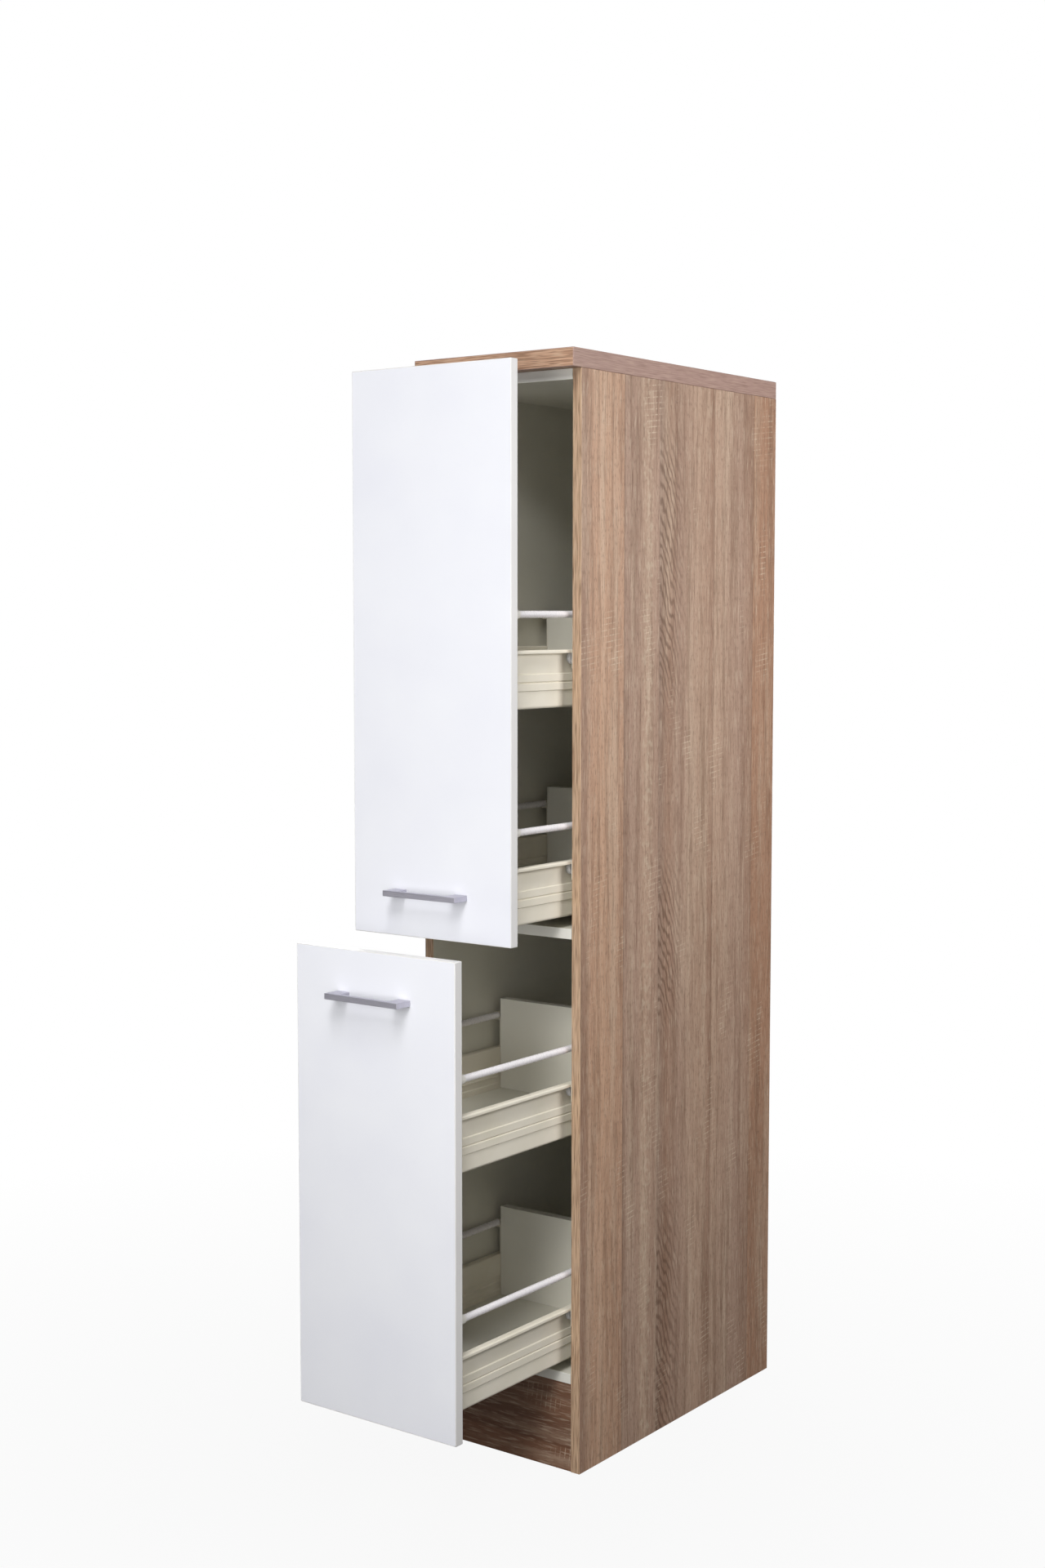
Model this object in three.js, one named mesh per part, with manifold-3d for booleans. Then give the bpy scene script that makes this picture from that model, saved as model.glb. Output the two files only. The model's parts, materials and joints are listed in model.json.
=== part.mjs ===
/*
 * Pull out larder unit: a narrow, tall kitchen cabinet with two pull-outs, one above the other.
 * Each pull-out is a front with a bow handle and two steel-sided trays behind it, on roller runners.
 *
 * Millimetres, +Z up, the fronts face -Y. The origin is on the floor, in the middle of the plinth
 * board's underside. Inside the cabinet group, y = 0 is the plane of the cabinet's front edges.
 */
import * as THREE from 'three';
import { mergeVertices } from 'three/addons/utils/BufferGeometryUtils.js';
import Module from 'manifold-3d';

const wasm = await Module();
wasm.setup();

// Cabinet
const CABINET_WIDTH = 300;
const CABINET_HEIGHT = 1700;
const CABINET_DEPTH = 570;
const SIDE_THICKNESS = 16;
const TOP_BOARD_THICKNESS = 28;
const TOP_BOARD_OVERHANG = 21;
const SHELF_THICKNESS = 16;
const MIDDLE_SHELF_TOP = 840;
const PLINTH_HEIGHT = 138;
const PLINTH_THICKNESS = 16;
const PLINTH_SETBACK = 1;
const BACK_THICKNESS = 3;
const BACK_INSET = 14;
const BACK_GROOVE_DEPTH = 7;
const SEAT_GAP = 0.3;

// Fronts
const FRONT_THICKNESS = 16;
const FRONT_SIDE_GAP = 2;
const FRONT_END_GAP = 2;
const FRONT_MIDDLE_GAP = 3;
const FRONT_CLOSED_GAP = 2;
const EDGE_RADIUS = 1.2;

// How far each pull-out stands open
const UPPER_OPEN = 152;
const LOWER_OPEN = 282;
const FULL_TRAVEL = 345;

// Bow handles
const HANDLE_LENGTH = 136;
const HANDLE_HEIGHT = 8.5;
const HANDLE_REACH = 30;
const HANDLE_LEG_WIDTH = 22;
const HANDLE_BAR_DEPTH = 8;
const HANDLE_FILLET = 7;
const HANDLE_EDGE = 0.7;
const HANDLE_TO_FRONT_END = 66;

// Trays
const TRAY_LENGTH = 456;
const TRAY_SIDE_HEIGHT = 86;
const TRAY_SHEET = 1.5;
const TRAY_BOARD_THICKNESS = 16;
const TRAY_FLOOR_CLEARANCE = 17;
const TRAY_FOOT_WIDTH = 13;
const UPPER_TRAY_SPACING = 316;
const LOWER_TRAY_SPACING = 347;
const TOP_TRAY_BACK_RISE = 56;
const TRAY_BACK_RISE = 80;
const RIM_WIDTH = 12.3;
const RIM_LIP = 5;
const BEAD_HEIGHT = 11.5;
const BEAD_PITCH = 13.2;
const FIRST_BEAD_DROP = 41;
const BEAD_DEPTH = 1.1;
const BEAD_SLOPE = 3;
const BEAD_END_MARGIN = 11;
const FRONT_FLANGE_DROP = 30;

// Gallery rails over the tray sides
const RAIL_RADIUS = 5.25;
const RAIL_RISE = 52;
const RAIL_SOCKET_RADIUS = 7;
const RAIL_SOCKET_LENGTH = 30;
const RAIL_PLUG_RADIUS = 3;
const RAIL_PLUG_REACH = 4;
const RAIL_BRACKET_WIDTH = 11;
const RAIL_LUG_HEIGHT = 13;

// Runners and rollers
const RUNNER_SHEET = 1.2;
const RUNNER_START = 1;
const RUNNER_LENGTH = 455;
const RUNNER_RIM_DROP = 2;
const RUNNER_LIP_GAP = 0.7;
const RUNNER_FLANGE_WIDTH = 9.5;
const RUNNER_PLATE_FOOT = 3;
const FRONT_ROLLER_RADIUS = 10;
const FRONT_ROLLER_SETBACK = 11;
const REAR_ROLLER_RADIUS = 8;
const REAR_ROLLER_TO_END = 12;
const ROLLER_WIDTH = 7;
const ROLLER_CHAMFER = 1.2;
const ROLLER_PLAY = 0.8;
const AXLE_RADIUS = 2;
const AXLE_PLAY = 0.3;
const AXLE_HEAD_RADIUS = 3.4;
const AXLE_HEAD_THICKNESS = 0.6;
const ROUND_STEPS = 16;
const TRACK_STOP_HEIGHT = 3;
const TRACK_STOP_LENGTH = 6;

// Heights of the cabinet's boards
const topBoardBottom = CABINET_HEIGHT - TOP_BOARD_THICKNESS;
const innerHalfWidth = CABINET_WIDTH / 2 - SIDE_THICKNESS;
const shelfDepth = CABINET_DEPTH - BACK_INSET - BACK_THICKNESS - SEAT_GAP;
const bottomPanelTop = PLINTH_HEIGHT + SHELF_THICKNESS;
const frontDivide = MIDDLE_SHELF_TOP - SHELF_THICKNESS / 2;

// The tray's section, from the cabinet's side inwards
const plateOuter = innerHalfWidth - SEAT_GAP;
const plateInner = plateOuter - RUNNER_SHEET;
const lipOuter = plateInner - RUNNER_LIP_GAP;
const lipInner = lipOuter - TRAY_SHEET;
const wallInner = lipOuter - RIM_WIDTH;
const wallOuter = wallInner + TRAY_SHEET;
const rollerMiddle = (wallOuter + lipInner) / 2;
const railMiddle = wallInner + RAIL_BRACKET_WIDTH - RAIL_RADIUS;
const trayBoardHalfWidth = wallInner - SEAT_GAP;
const trayBackFront = TRAY_LENGTH - TRAY_BOARD_THICKNESS;
const trayFloorTop = TRAY_SHEET + SEAT_GAP + TRAY_BOARD_THICKNESS - TRAY_SIDE_HEIGHT;

// Heights below the tray's rim, which is z = 0 in a tray's and a runner's own group
const frontRollerZ = -(TRAY_SHEET + SEAT_GAP + FRONT_ROLLER_RADIUS);
const trackRoof = -(RIM_LIP + SEAT_GAP + RUNNER_LIP_GAP + RUNNER_SHEET);
const trackFloor = trackRoof - 2 * REAR_ROLLER_RADIUS - ROLLER_PLAY;
const rearRollerZ = trackFloor + SEAT_GAP + REAR_ROLLER_RADIUS;
const rearRollerY = TRAY_LENGTH - REAR_ROLLER_TO_END;

// Finishes
const OAK = new THREE.MeshStandardMaterial({ color: 0xb08e70, roughness: 0.6 });
const WHITE_BOARD = new THREE.MeshStandardMaterial({ color: 0xe9e8e4, roughness: 0.5 });
const WHITE_FRONT = new THREE.MeshStandardMaterial({ color: 0xeeeef1, roughness: 0.35 });
const CREAM_STEEL = new THREE.MeshStandardMaterial({ color: 0xe4dfcf, roughness: 0.45 });
const WHITE_RAIL = new THREE.MeshStandardMaterial({ color: 0xeeebe8, roughness: 0.4 });
const SATIN_STEEL = new THREE.MeshStandardMaterial({ color: 0xa9a7ad, roughness: 0.35, metalness: 1 });
const NYLON = new THREE.MeshStandardMaterial({ color: 0xcfcdca, roughness: 0.5 });

/** A closed geometry with its shared corners merged. */
function welded(geometry) {
  const plain = geometry.index ? geometry.toNonIndexed() : geometry.clone();
  plain.deleteAttribute('normal');
  plain.deleteAttribute('uv');
  return mergeVertices(plain, 1e-4);
}

/** A geometry as a solid that can be joined or cut. */
function toSolid(geometry) {
  const mesh = welded(geometry);
  return new wasm.Manifold(new wasm.Mesh({
    numProp: 3,
    vertProperties: new Float32Array(mesh.attributes.position.array),
    triVerts: new Uint32Array(mesh.index.array),
  }));
}

/** Joins overlapping geometries into one body, and cuts others out of it. */
function joined(added, cut = []) {
  let solid = toSolid(added[0]);
  for (const geometry of added.slice(1)) {
    solid = solid.add(toSolid(geometry));
  }
  for (const geometry of cut) {
    solid = solid.subtract(toSolid(geometry));
  }
  const mesh = solid.getMesh();
  const result = new THREE.BufferGeometry();
  result.setAttribute('position', new THREE.BufferAttribute(new Float32Array(mesh.vertProperties), 3));
  result.setIndex(new THREE.BufferAttribute(new Uint32Array(mesh.triVerts), 1));
  result.computeVertexNormals();
  return result;
}

/** A named piece in its finish. */
function piece(name, geometry, material) {
  const mesh = new THREE.Mesh(geometry, material);
  mesh.name = name;
  return mesh;
}

/** A block between two corners. */
function block(low, high) {
  const size = high.map((value, axis) => value - low[axis]);
  const geometry = new THREE.BoxGeometry(...size);
  geometry.translate(...low.map((value, axis) => value + size[axis] / 2));
  return geometry;
}

/** An outline of straight runs. */
function outline(points) {
  return new THREE.Shape(points.map(([across, up]) => new THREE.Vector2(across, up)));
}

/** Extrudes an outline drawn across (x) and up (z) towards the back, from y = start. */
function extrudeBack(shape, start, length, options = {}) {
  const geometry = new THREE.ExtrudeGeometry(shape, { depth: length, bevelEnabled: false, ...options });
  geometry.rotateX(Math.PI / 2);
  geometry.translate(0, start + length, 0);
  return geometry;
}

/** Extrudes an outline drawn along (y) and up (z) towards +X, from x = start. */
function extrudeAcross(shape, start, length, options = {}) {
  const geometry = new THREE.ExtrudeGeometry(shape, { depth: length, bevelEnabled: false, ...options });
  const turn = new THREE.Matrix4().makeBasis(
    new THREE.Vector3(0, 1, 0),
    new THREE.Vector3(0, 0, 1),
    new THREE.Vector3(1, 0, 0),
  );
  geometry.applyMatrix4(turn);
  geometry.translate(start, 0, 0);
  return geometry;
}

/** Mirrors a right-hand geometry for the left side, with its faces still pointing out. */
function handed(geometry, side) {
  if (side > 0) {
    return geometry;
  }
  const mirrored = welded(geometry);
  mirrored.scale(-1, 1, 1);
  mirrored.index.array.reverse();
  mirrored.computeVertexNormals();
  return mirrored;
}

/** A round piece turned from a profile of [radius, distance along its axis], with its axis along X. */
function turnedAcross(profile, steps = ROUND_STEPS) {
  const points = profile.map(([radius, along]) => new THREE.Vector2(radius, along));
  const geometry = new THREE.LatheGeometry(points, steps);
  geometry.rotateZ(-Math.PI / 2);
  return geometry;
}

/** The same, with its axis along Y. */
function turnedBack(profile, steps = ROUND_STEPS) {
  const points = profile.map(([radius, along]) => new THREE.Vector2(radius, along));
  return new THREE.LatheGeometry(points, steps);
}

/** A board with slightly rounded edges all round, between two corners, its face towards -Y. */
function roundedBoard(low, high) {
  const [width, depth, height] = high.map((value, axis) => value - low[axis]);
  const radius = EDGE_RADIUS;
  const shape = new THREE.Shape();
  shape.moveTo(radius, 0);
  shape.lineTo(width - radius, 0);
  shape.absarc(width - radius, radius, radius, -Math.PI / 2, 0);
  shape.lineTo(width, height - radius);
  shape.absarc(width - radius, height - radius, radius, 0, Math.PI / 2);
  shape.lineTo(radius, height);
  shape.absarc(radius, height - radius, radius, Math.PI / 2, Math.PI);
  shape.lineTo(0, radius);
  shape.absarc(radius, radius, radius, Math.PI, 1.5 * Math.PI);
  const edge = radius * 0.9;
  const geometry = extrudeBack(shape, 0, depth - 2 * edge, {
    curveSegments: 2,
    bevelEnabled: true,
    bevelThickness: edge,
    bevelSize: edge,
    bevelOffset: -edge,
    bevelSegments: 2,
  });
  geometry.translate(low[0], low[1] + edge, low[2]);
  return geometry;
}

/** A side panel, with the groove near its rear edge that holds the back. */
function sidePanel(side) {
  const grooveFront = shelfDepth;
  const grooveBack = grooveFront + BACK_THICKNESS + 2 * SEAT_GAP;
  const plan = outline([
    [0, 0],
    [SIDE_THICKNESS, 0],
    [SIDE_THICKNESS, CABINET_DEPTH],
    [0, CABINET_DEPTH],
    [0, grooveBack],
    [BACK_GROOVE_DEPTH, grooveBack],
    [BACK_GROOVE_DEPTH, grooveFront],
    [0, grooveFront],
  ]);
  const height = topBoardBottom - SEAT_GAP;
  const geometry = new THREE.ExtrudeGeometry(plan, { depth: height, bevelEnabled: false });
  geometry.translate(innerHalfWidth, 0, 0);
  return handed(geometry, side);
}

/** A white panel between the side panels, with its top at the given height. */
function innerPanel(top) {
  const halfWidth = innerHalfWidth - SEAT_GAP;
  return block([-halfWidth, 0, top - SHELF_THICKNESS], [halfWidth, shelfDepth - SEAT_GAP, top]);
}

/** The thin back, in the side panels' grooves. */
function backPanel() {
  const halfWidth = innerHalfWidth + BACK_GROOVE_DEPTH - SEAT_GAP;
  const front = shelfDepth + SEAT_GAP;
  return block([-halfWidth, front, PLINTH_HEIGHT], [halfWidth, front + BACK_THICKNESS, topBoardBottom - SEAT_GAP]);
}

/** The board that closes the space under the bottom panel, down to the floor. */
function plinthBoard() {
  const halfWidth = innerHalfWidth - SEAT_GAP;
  return block(
    [-halfWidth, PLINTH_SETBACK, 0],
    [halfWidth, PLINTH_SETBACK + PLINTH_THICKNESS, PLINTH_HEIGHT - SEAT_GAP],
  );
}

/** The thick top board, which covers the fronts' upper edge. */
function topBoard() {
  return roundedBoard(
    [-CABINET_WIDTH / 2, -TOP_BOARD_OVERHANG, topBoardBottom],
    [CABINET_WIDTH / 2, CABINET_DEPTH, CABINET_HEIGHT],
  );
}

/** An axle from x = 0 outwards, with a head that keeps its roller on; it starts inside its plate. */
function axle(length) {
  const shaftEnd = length - AXLE_HEAD_THICKNESS;
  return turnedAcross([
    [0, 0],
    [AXLE_RADIUS, 0],
    [AXLE_RADIUS, shaftEnd],
    [AXLE_HEAD_RADIUS, shaftEnd],
    [AXLE_HEAD_RADIUS, length],
    [0, length],
  ]);
}

/** A nylon roller about its own middle, its axis along X, bored for the axle. */
function roller(radius) {
  const bore = AXLE_RADIUS + AXLE_PLAY;
  const half = ROLLER_WIDTH / 2;
  return turnedAcross([
    [bore, -half],
    [radius - ROLLER_CHAMFER, -half],
    [radius, ROLLER_CHAMFER - half],
    [radius, half - ROLLER_CHAMFER],
    [radius - ROLLER_CHAMFER, half],
    [bore, half],
    [bore, -half],
  ]);
}

/** A cabinet runner: a plate on the side panel, a track behind the front roller, and that roller's axle. */
function runner(side) {
  const plateTop = -RUNNER_RIM_DROP;
  const plateBottom = trackFloor - RUNNER_SHEET - RUNNER_PLATE_FOOT;
  const runnerEnd = RUNNER_START + RUNNER_LENGTH;
  const plate = block([plateInner, RUNNER_START, plateBottom], [plateOuter, runnerEnd, plateTop]);

  const trackStart = FRONT_ROLLER_SETBACK + FRONT_ROLLER_RADIUS + 2 * RUNNER_SHEET;
  const flangeInner = plateInner - RUNNER_FLANGE_WIDTH;
  const roof = block([flangeInner, trackStart, trackRoof], [plateOuter, runnerEnd, trackRoof + RUNNER_SHEET]);
  const floor = block([flangeInner, trackStart, trackFloor - RUNNER_SHEET], [plateOuter, runnerEnd, trackFloor]);

  const rollerAtStop = rearRollerY - FRONT_CLOSED_GAP - FULL_TRAVEL;
  const rise = REAR_ROLLER_RADIUS + SEAT_GAP - TRACK_STOP_HEIGHT;
  const stopFace = rollerAtStop - Math.sqrt(REAR_ROLLER_RADIUS ** 2 - rise ** 2) - SEAT_GAP;
  const stop = extrudeAcross(outline([
    [stopFace - TRACK_STOP_LENGTH, trackFloor - RUNNER_SHEET / 2],
    [stopFace, trackFloor - RUNNER_SHEET / 2],
    [stopFace, trackFloor + TRACK_STOP_HEIGHT],
    [stopFace - TRACK_STOP_LENGTH / 2, trackFloor + TRACK_STOP_HEIGHT],
    [stopFace - TRACK_STOP_LENGTH, trackFloor],
  ]), flangeInner, plateOuter - flangeInner);

  const axleLength = plateInner - rollerMiddle + ROLLER_WIDTH / 2 + AXLE_HEAD_THICKNESS + SEAT_GAP;
  const pin = axle(axleLength + RUNNER_SHEET / 2);
  pin.rotateZ(Math.PI);
  pin.translate(plateInner + RUNNER_SHEET / 2, FRONT_ROLLER_SETBACK, frontRollerZ);
  return handed(joined([plate, roof, floor, stop, pin]), side);
}

/** A stadium outline lying along y, centred on the given height. */
function beadOutline(start, end, middle) {
  const radius = BEAD_HEIGHT / 2;
  const shape = new THREE.Shape();
  shape.moveTo(start + radius, middle - radius);
  shape.lineTo(end - radius, middle - radius);
  shape.absarc(end - radius, middle, radius, -Math.PI / 2, Math.PI / 2);
  shape.lineTo(start + radius, middle + radius);
  shape.absarc(start + radius, middle, radius, Math.PI / 2, 1.5 * Math.PI);
  return shape;
}

/** A tray's steel side: rim, wall with two pressed beads, foot, front flange, rear bracket and axle. */
function traySide(side) {
  const bottom = -TRAY_SIDE_HEIGHT;
  const start = SEAT_GAP;
  const length = TRAY_LENGTH - start;
  const section = extrudeBack(outline([
    [wallInner - TRAY_FOOT_WIDTH + TRAY_SHEET, bottom],
    [wallOuter, bottom],
    [wallOuter, -TRAY_SHEET],
    [lipInner, -TRAY_SHEET],
    [lipInner, -RIM_LIP],
    [lipOuter, -RIM_LIP],
    [lipOuter, -TRAY_SHEET / 3],
    [lipOuter - TRAY_SHEET / 3, 0],
    [wallInner, 0],
    [wallInner, bottom + TRAY_SHEET],
    [wallInner - TRAY_FOOT_WIDTH + TRAY_SHEET, bottom + TRAY_SHEET],
  ]), start, length);

  const parts = [section];
  for (let count = 0; count < 2; count += 1) {
    const middle = -(FIRST_BEAD_DROP + count * BEAD_PITCH);
    const shape = beadOutline(BEAD_END_MARGIN, TRAY_LENGTH - BEAD_END_MARGIN, middle);
    const flat = TRAY_SHEET / 4;
    parts.push(extrudeAcross(shape, wallOuter - flat, flat, {
      curveSegments: 5,
      bevelEnabled: true,
      bevelThickness: BEAD_DEPTH,
      bevelSize: BEAD_SLOPE,
      bevelOffset: -BEAD_SLOPE,
      bevelSegments: 2,
    }));
  }

  const frontFlange = block(
    [wallOuter - TRAY_SHEET / 2, start, bottom + TRAY_SHEET],
    [lipInner, start + TRAY_SHEET, -FRONT_FLANGE_DROP],
  );
  const bracketFront = trayBackFront + SEAT_GAP;
  const bracketTop = RAIL_RISE + RAIL_RADIUS;
  const bracketWall = block(
    [wallInner, bracketFront, -TRAY_SHEET],
    [wallOuter, TRAY_LENGTH, bracketTop],
  );
  const bracketOuter = wallInner + RAIL_BRACKET_WIDTH;
  const lugBottom = bracketTop - RAIL_LUG_HEIGHT;
  const lugCut = RAIL_RADIUS / 2;
  const lug = outline([
    [wallInner, lugBottom],
    [bracketOuter - lugCut, lugBottom],
    [bracketOuter, lugBottom + lugCut],
    [bracketOuter, bracketTop - lugCut],
    [bracketOuter - lugCut, bracketTop],
    [wallInner, bracketTop],
  ]);
  const bracketLug = extrudeBack(lug, bracketFront, TRAY_SHEET);
  const plugHole = turnedBack([
    [0, -TRAY_SHEET],
    [RAIL_PLUG_RADIUS + SEAT_GAP, -TRAY_SHEET],
    [RAIL_PLUG_RADIUS + SEAT_GAP, 2 * TRAY_SHEET],
    [0, 2 * TRAY_SHEET],
  ]);
  plugHole.translate(railMiddle, bracketFront, RAIL_RISE);

  const axleLength = rollerMiddle - wallOuter + ROLLER_WIDTH / 2 + AXLE_HEAD_THICKNESS + SEAT_GAP;
  const pin = axle(axleLength + TRAY_SHEET / 2);
  pin.translate(wallOuter - TRAY_SHEET / 2, rearRollerY, rearRollerZ);
  parts.push(frontFlange, bracketWall, bracketLug, pin);
  return handed(joined(parts, [plugHole]), side);
}

/** A gallery rail: front socket, tube, and a plug in the rear bracket's hole. */
function galleryRail() {
  const shoulder = trayBackFront;
  const chamfer = RAIL_SOCKET_RADIUS - RAIL_RADIUS;
  const rail = turnedBack([
    [0, SEAT_GAP],
    [RAIL_SOCKET_RADIUS, SEAT_GAP],
    [RAIL_SOCKET_RADIUS, RAIL_SOCKET_LENGTH - chamfer],
    [RAIL_RADIUS, RAIL_SOCKET_LENGTH],
    [RAIL_RADIUS, shoulder],
    [RAIL_PLUG_RADIUS, shoulder],
    [RAIL_PLUG_RADIUS, shoulder + RAIL_PLUG_REACH],
    [0, shoulder + RAIL_PLUG_REACH],
  ]);
  return rail;
}

/** A bow handle, seen from above: a bar between two broad legs with filleted inner corners. */
function bowHandle() {
  const half = HANDLE_LENGTH / 2;
  const legInner = half - HANDLE_LEG_WIDTH;
  const barBack = HANDLE_BAR_DEPTH - HANDLE_REACH;
  const shape = new THREE.Shape();
  shape.moveTo(-half, -SEAT_GAP);
  shape.lineTo(-half, -HANDLE_REACH);
  shape.lineTo(half, -HANDLE_REACH);
  shape.lineTo(half, -SEAT_GAP);
  shape.lineTo(legInner, -SEAT_GAP);
  shape.absarc(legInner - HANDLE_FILLET, barBack + HANDLE_FILLET, HANDLE_FILLET, 0, -Math.PI / 2, true);
  shape.absarc(HANDLE_FILLET - legInner, barBack + HANDLE_FILLET, HANDLE_FILLET, -Math.PI / 2, -Math.PI, true);
  shape.lineTo(-legInner, -SEAT_GAP);
  const geometry = new THREE.ExtrudeGeometry(shape, {
    depth: HANDLE_HEIGHT - 2 * HANDLE_EDGE,
    curveSegments: 6,
    bevelEnabled: true,
    bevelThickness: HANDLE_EDGE,
    bevelSize: HANDLE_EDGE,
    bevelOffset: -HANDLE_EDGE,
    bevelSegments: 1,
  });
  geometry.translate(0, 0, HANDLE_EDGE - HANDLE_HEIGHT / 2);
  return geometry;
}

const SIDES = [['left', -1], ['right', 1]];

/** One tray in its own group: z = 0 at the rim, y = 0 at the front's back face. */
function tray(number, backRise) {
  const group = new THREE.Group();
  for (const [sideName, side] of SIDES) {
    group.add(piece(`tray_${number}_side_${sideName}`, traySide(side), CREAM_STEEL));
    const rail = piece(`tray_${number}_rail_${sideName}`, galleryRail(), WHITE_RAIL);
    rail.position.set(side * railMiddle, 0, RAIL_RISE);
    const rearRoller = piece(`tray_${number}_rear_roller_${sideName}`, roller(REAR_ROLLER_RADIUS), NYLON);
    rearRoller.position.set(side * rollerMiddle, rearRollerY, rearRollerZ);
    group.add(rail, rearRoller);
  }
  const boardBottom = trayFloorTop - TRAY_BOARD_THICKNESS;
  const floor = block(
    [-trayBoardHalfWidth, SEAT_GAP, boardBottom],
    [trayBoardHalfWidth, trayBackFront - SEAT_GAP, trayFloorTop],
  );
  const back = block(
    [-trayBoardHalfWidth, trayBackFront, boardBottom],
    [trayBoardHalfWidth, TRAY_LENGTH, backRise],
  );
  group.add(piece(`tray_${number}_bottom`, floor, WHITE_BOARD));
  group.add(piece(`tray_${number}_back`, back, WHITE_BOARD));
  return group;
}

/** The pair of cabinet runners for one tray, with their front rollers: z = 0 at the tray's rim. */
function runnerPair(number) {
  const group = new THREE.Group();
  for (const [sideName, side] of SIDES) {
    group.add(piece(`runner_${number}_${sideName}`, runner(side), CREAM_STEEL));
    const frontRoller = piece(`runner_${number}_roller_${sideName}`, roller(FRONT_ROLLER_RADIUS), NYLON);
    frontRoller.position.set(side * rollerMiddle, FRONT_ROLLER_SETBACK, frontRollerZ);
    group.add(frontRoller);
  }
  return group;
}

/** Two pull-outs: what differs between them, from the top. */
const PULL_OUTS = [
  {
    name: 'upper',
    open: UPPER_OPEN,
    bottom: frontDivide + FRONT_MIDDLE_GAP / 2,
    top: topBoardBottom - FRONT_END_GAP,
    handleHeight: frontDivide + FRONT_MIDDLE_GAP / 2 + HANDLE_TO_FRONT_END,
    floor: MIDDLE_SHELF_TOP,
    spacing: UPPER_TRAY_SPACING,
    trays: [1, 2],
    backRises: [TOP_TRAY_BACK_RISE, TRAY_BACK_RISE],
  },
  {
    name: 'lower',
    open: LOWER_OPEN,
    bottom: PLINTH_HEIGHT + FRONT_END_GAP,
    top: frontDivide - FRONT_MIDDLE_GAP / 2,
    handleHeight: frontDivide - FRONT_MIDDLE_GAP / 2 - HANDLE_TO_FRONT_END,
    floor: bottomPanelTop,
    spacing: LOWER_TRAY_SPACING,
    trays: [3, 4],
    backRises: [TRAY_BACK_RISE, TRAY_BACK_RISE],
  },
];

const cabinet = new THREE.Group();
cabinet.position.y = -(PLINTH_SETBACK + PLINTH_THICKNESS / 2);

for (const [sideName, side] of SIDES) {
  cabinet.add(piece(`side_panel_${sideName}`, sidePanel(side), OAK));
}
cabinet.add(piece('top_board', topBoard(), OAK));
cabinet.add(piece('top_panel', innerPanel(topBoardBottom - SEAT_GAP), WHITE_BOARD));
cabinet.add(piece('middle_shelf', innerPanel(MIDDLE_SHELF_TOP), WHITE_BOARD));
cabinet.add(piece('bottom_panel', innerPanel(bottomPanelTop), WHITE_BOARD));
cabinet.add(piece('back_panel', backPanel(), WHITE_BOARD));
cabinet.add(piece('plinth_board', plinthBoard(), OAK));

for (const pullOut of PULL_OUTS) {
  const carriage = new THREE.Group();
  carriage.position.y = -(FRONT_CLOSED_GAP + pullOut.open);
  const frontHalfWidth = CABINET_WIDTH / 2 - FRONT_SIDE_GAP;
  const front = roundedBoard(
    [-frontHalfWidth, -FRONT_THICKNESS, pullOut.bottom],
    [frontHalfWidth, 0, pullOut.top],
  );
  carriage.add(piece(`${pullOut.name}_front`, front, WHITE_FRONT));
  const handle = piece(`${pullOut.name}_handle`, bowHandle(), SATIN_STEEL);
  handle.position.set(0, -FRONT_THICKNESS, pullOut.handleHeight);
  carriage.add(handle);

  pullOut.trays.forEach((number, order) => {
    const stepsUp = pullOut.trays.length - 1 - order;
    const rimHeight = pullOut.floor + TRAY_FLOOR_CLEARANCE + TRAY_SIDE_HEIGHT + stepsUp * pullOut.spacing;
    const trayGroup = tray(number, pullOut.backRises[order]);
    trayGroup.position.z = rimHeight;
    carriage.add(trayGroup);
    const runners = runnerPair(number);
    runners.position.z = rimHeight;
    cabinet.add(runners);
  });
  cabinet.add(carriage);
}

const larderUnit = new THREE.Group();
larderUnit.add(cabinet);

export default larderUnit;
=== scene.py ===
# %% [markdown]
# # Pull out larder unit
# A narrow kitchen cabinet. Two white fronts pull out of an oak-decor carcass, and each carries two
# steel-sided trays on roller runners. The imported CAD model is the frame: every piece is built round
# the boxes of its nodes and rides on the body that carries it.

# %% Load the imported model
import json
import math

import bmesh
import bpy
from mathutils import Matrix, Vector


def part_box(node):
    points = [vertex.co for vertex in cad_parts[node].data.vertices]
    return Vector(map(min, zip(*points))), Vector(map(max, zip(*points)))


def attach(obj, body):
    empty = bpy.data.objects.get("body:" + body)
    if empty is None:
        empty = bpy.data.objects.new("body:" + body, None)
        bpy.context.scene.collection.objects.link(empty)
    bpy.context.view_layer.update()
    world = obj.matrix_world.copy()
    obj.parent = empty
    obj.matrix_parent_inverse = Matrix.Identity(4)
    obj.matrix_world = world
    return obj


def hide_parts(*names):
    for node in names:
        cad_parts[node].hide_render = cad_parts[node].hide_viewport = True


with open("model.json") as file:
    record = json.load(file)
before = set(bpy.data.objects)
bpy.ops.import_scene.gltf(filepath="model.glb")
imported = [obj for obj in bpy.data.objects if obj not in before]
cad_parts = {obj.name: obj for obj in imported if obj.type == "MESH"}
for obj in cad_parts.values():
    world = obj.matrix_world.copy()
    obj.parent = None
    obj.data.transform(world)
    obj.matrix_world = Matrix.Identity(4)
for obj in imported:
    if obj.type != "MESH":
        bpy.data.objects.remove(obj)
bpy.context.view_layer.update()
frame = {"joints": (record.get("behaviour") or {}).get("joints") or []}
MM = 0.001

# %% [markdown]
# ## The camera
# The camera stands to the right of the cabinet. Its place and lens come from a perspective fit to
# the cabinet's corners; the lens follows from the focal length in pixels of the picture's long side.

# %% Set up the camera
PHOTO_HEIGHT = 1920
FOCAL_PIXELS = 2574.2
SENSOR_LONG_SIDE = 36
CAMERA_PLACE = (1.9407, -2.5640, 1.3102)
CAMERA_TURN = 36.62
CAMERA_TILT = -4.6


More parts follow.
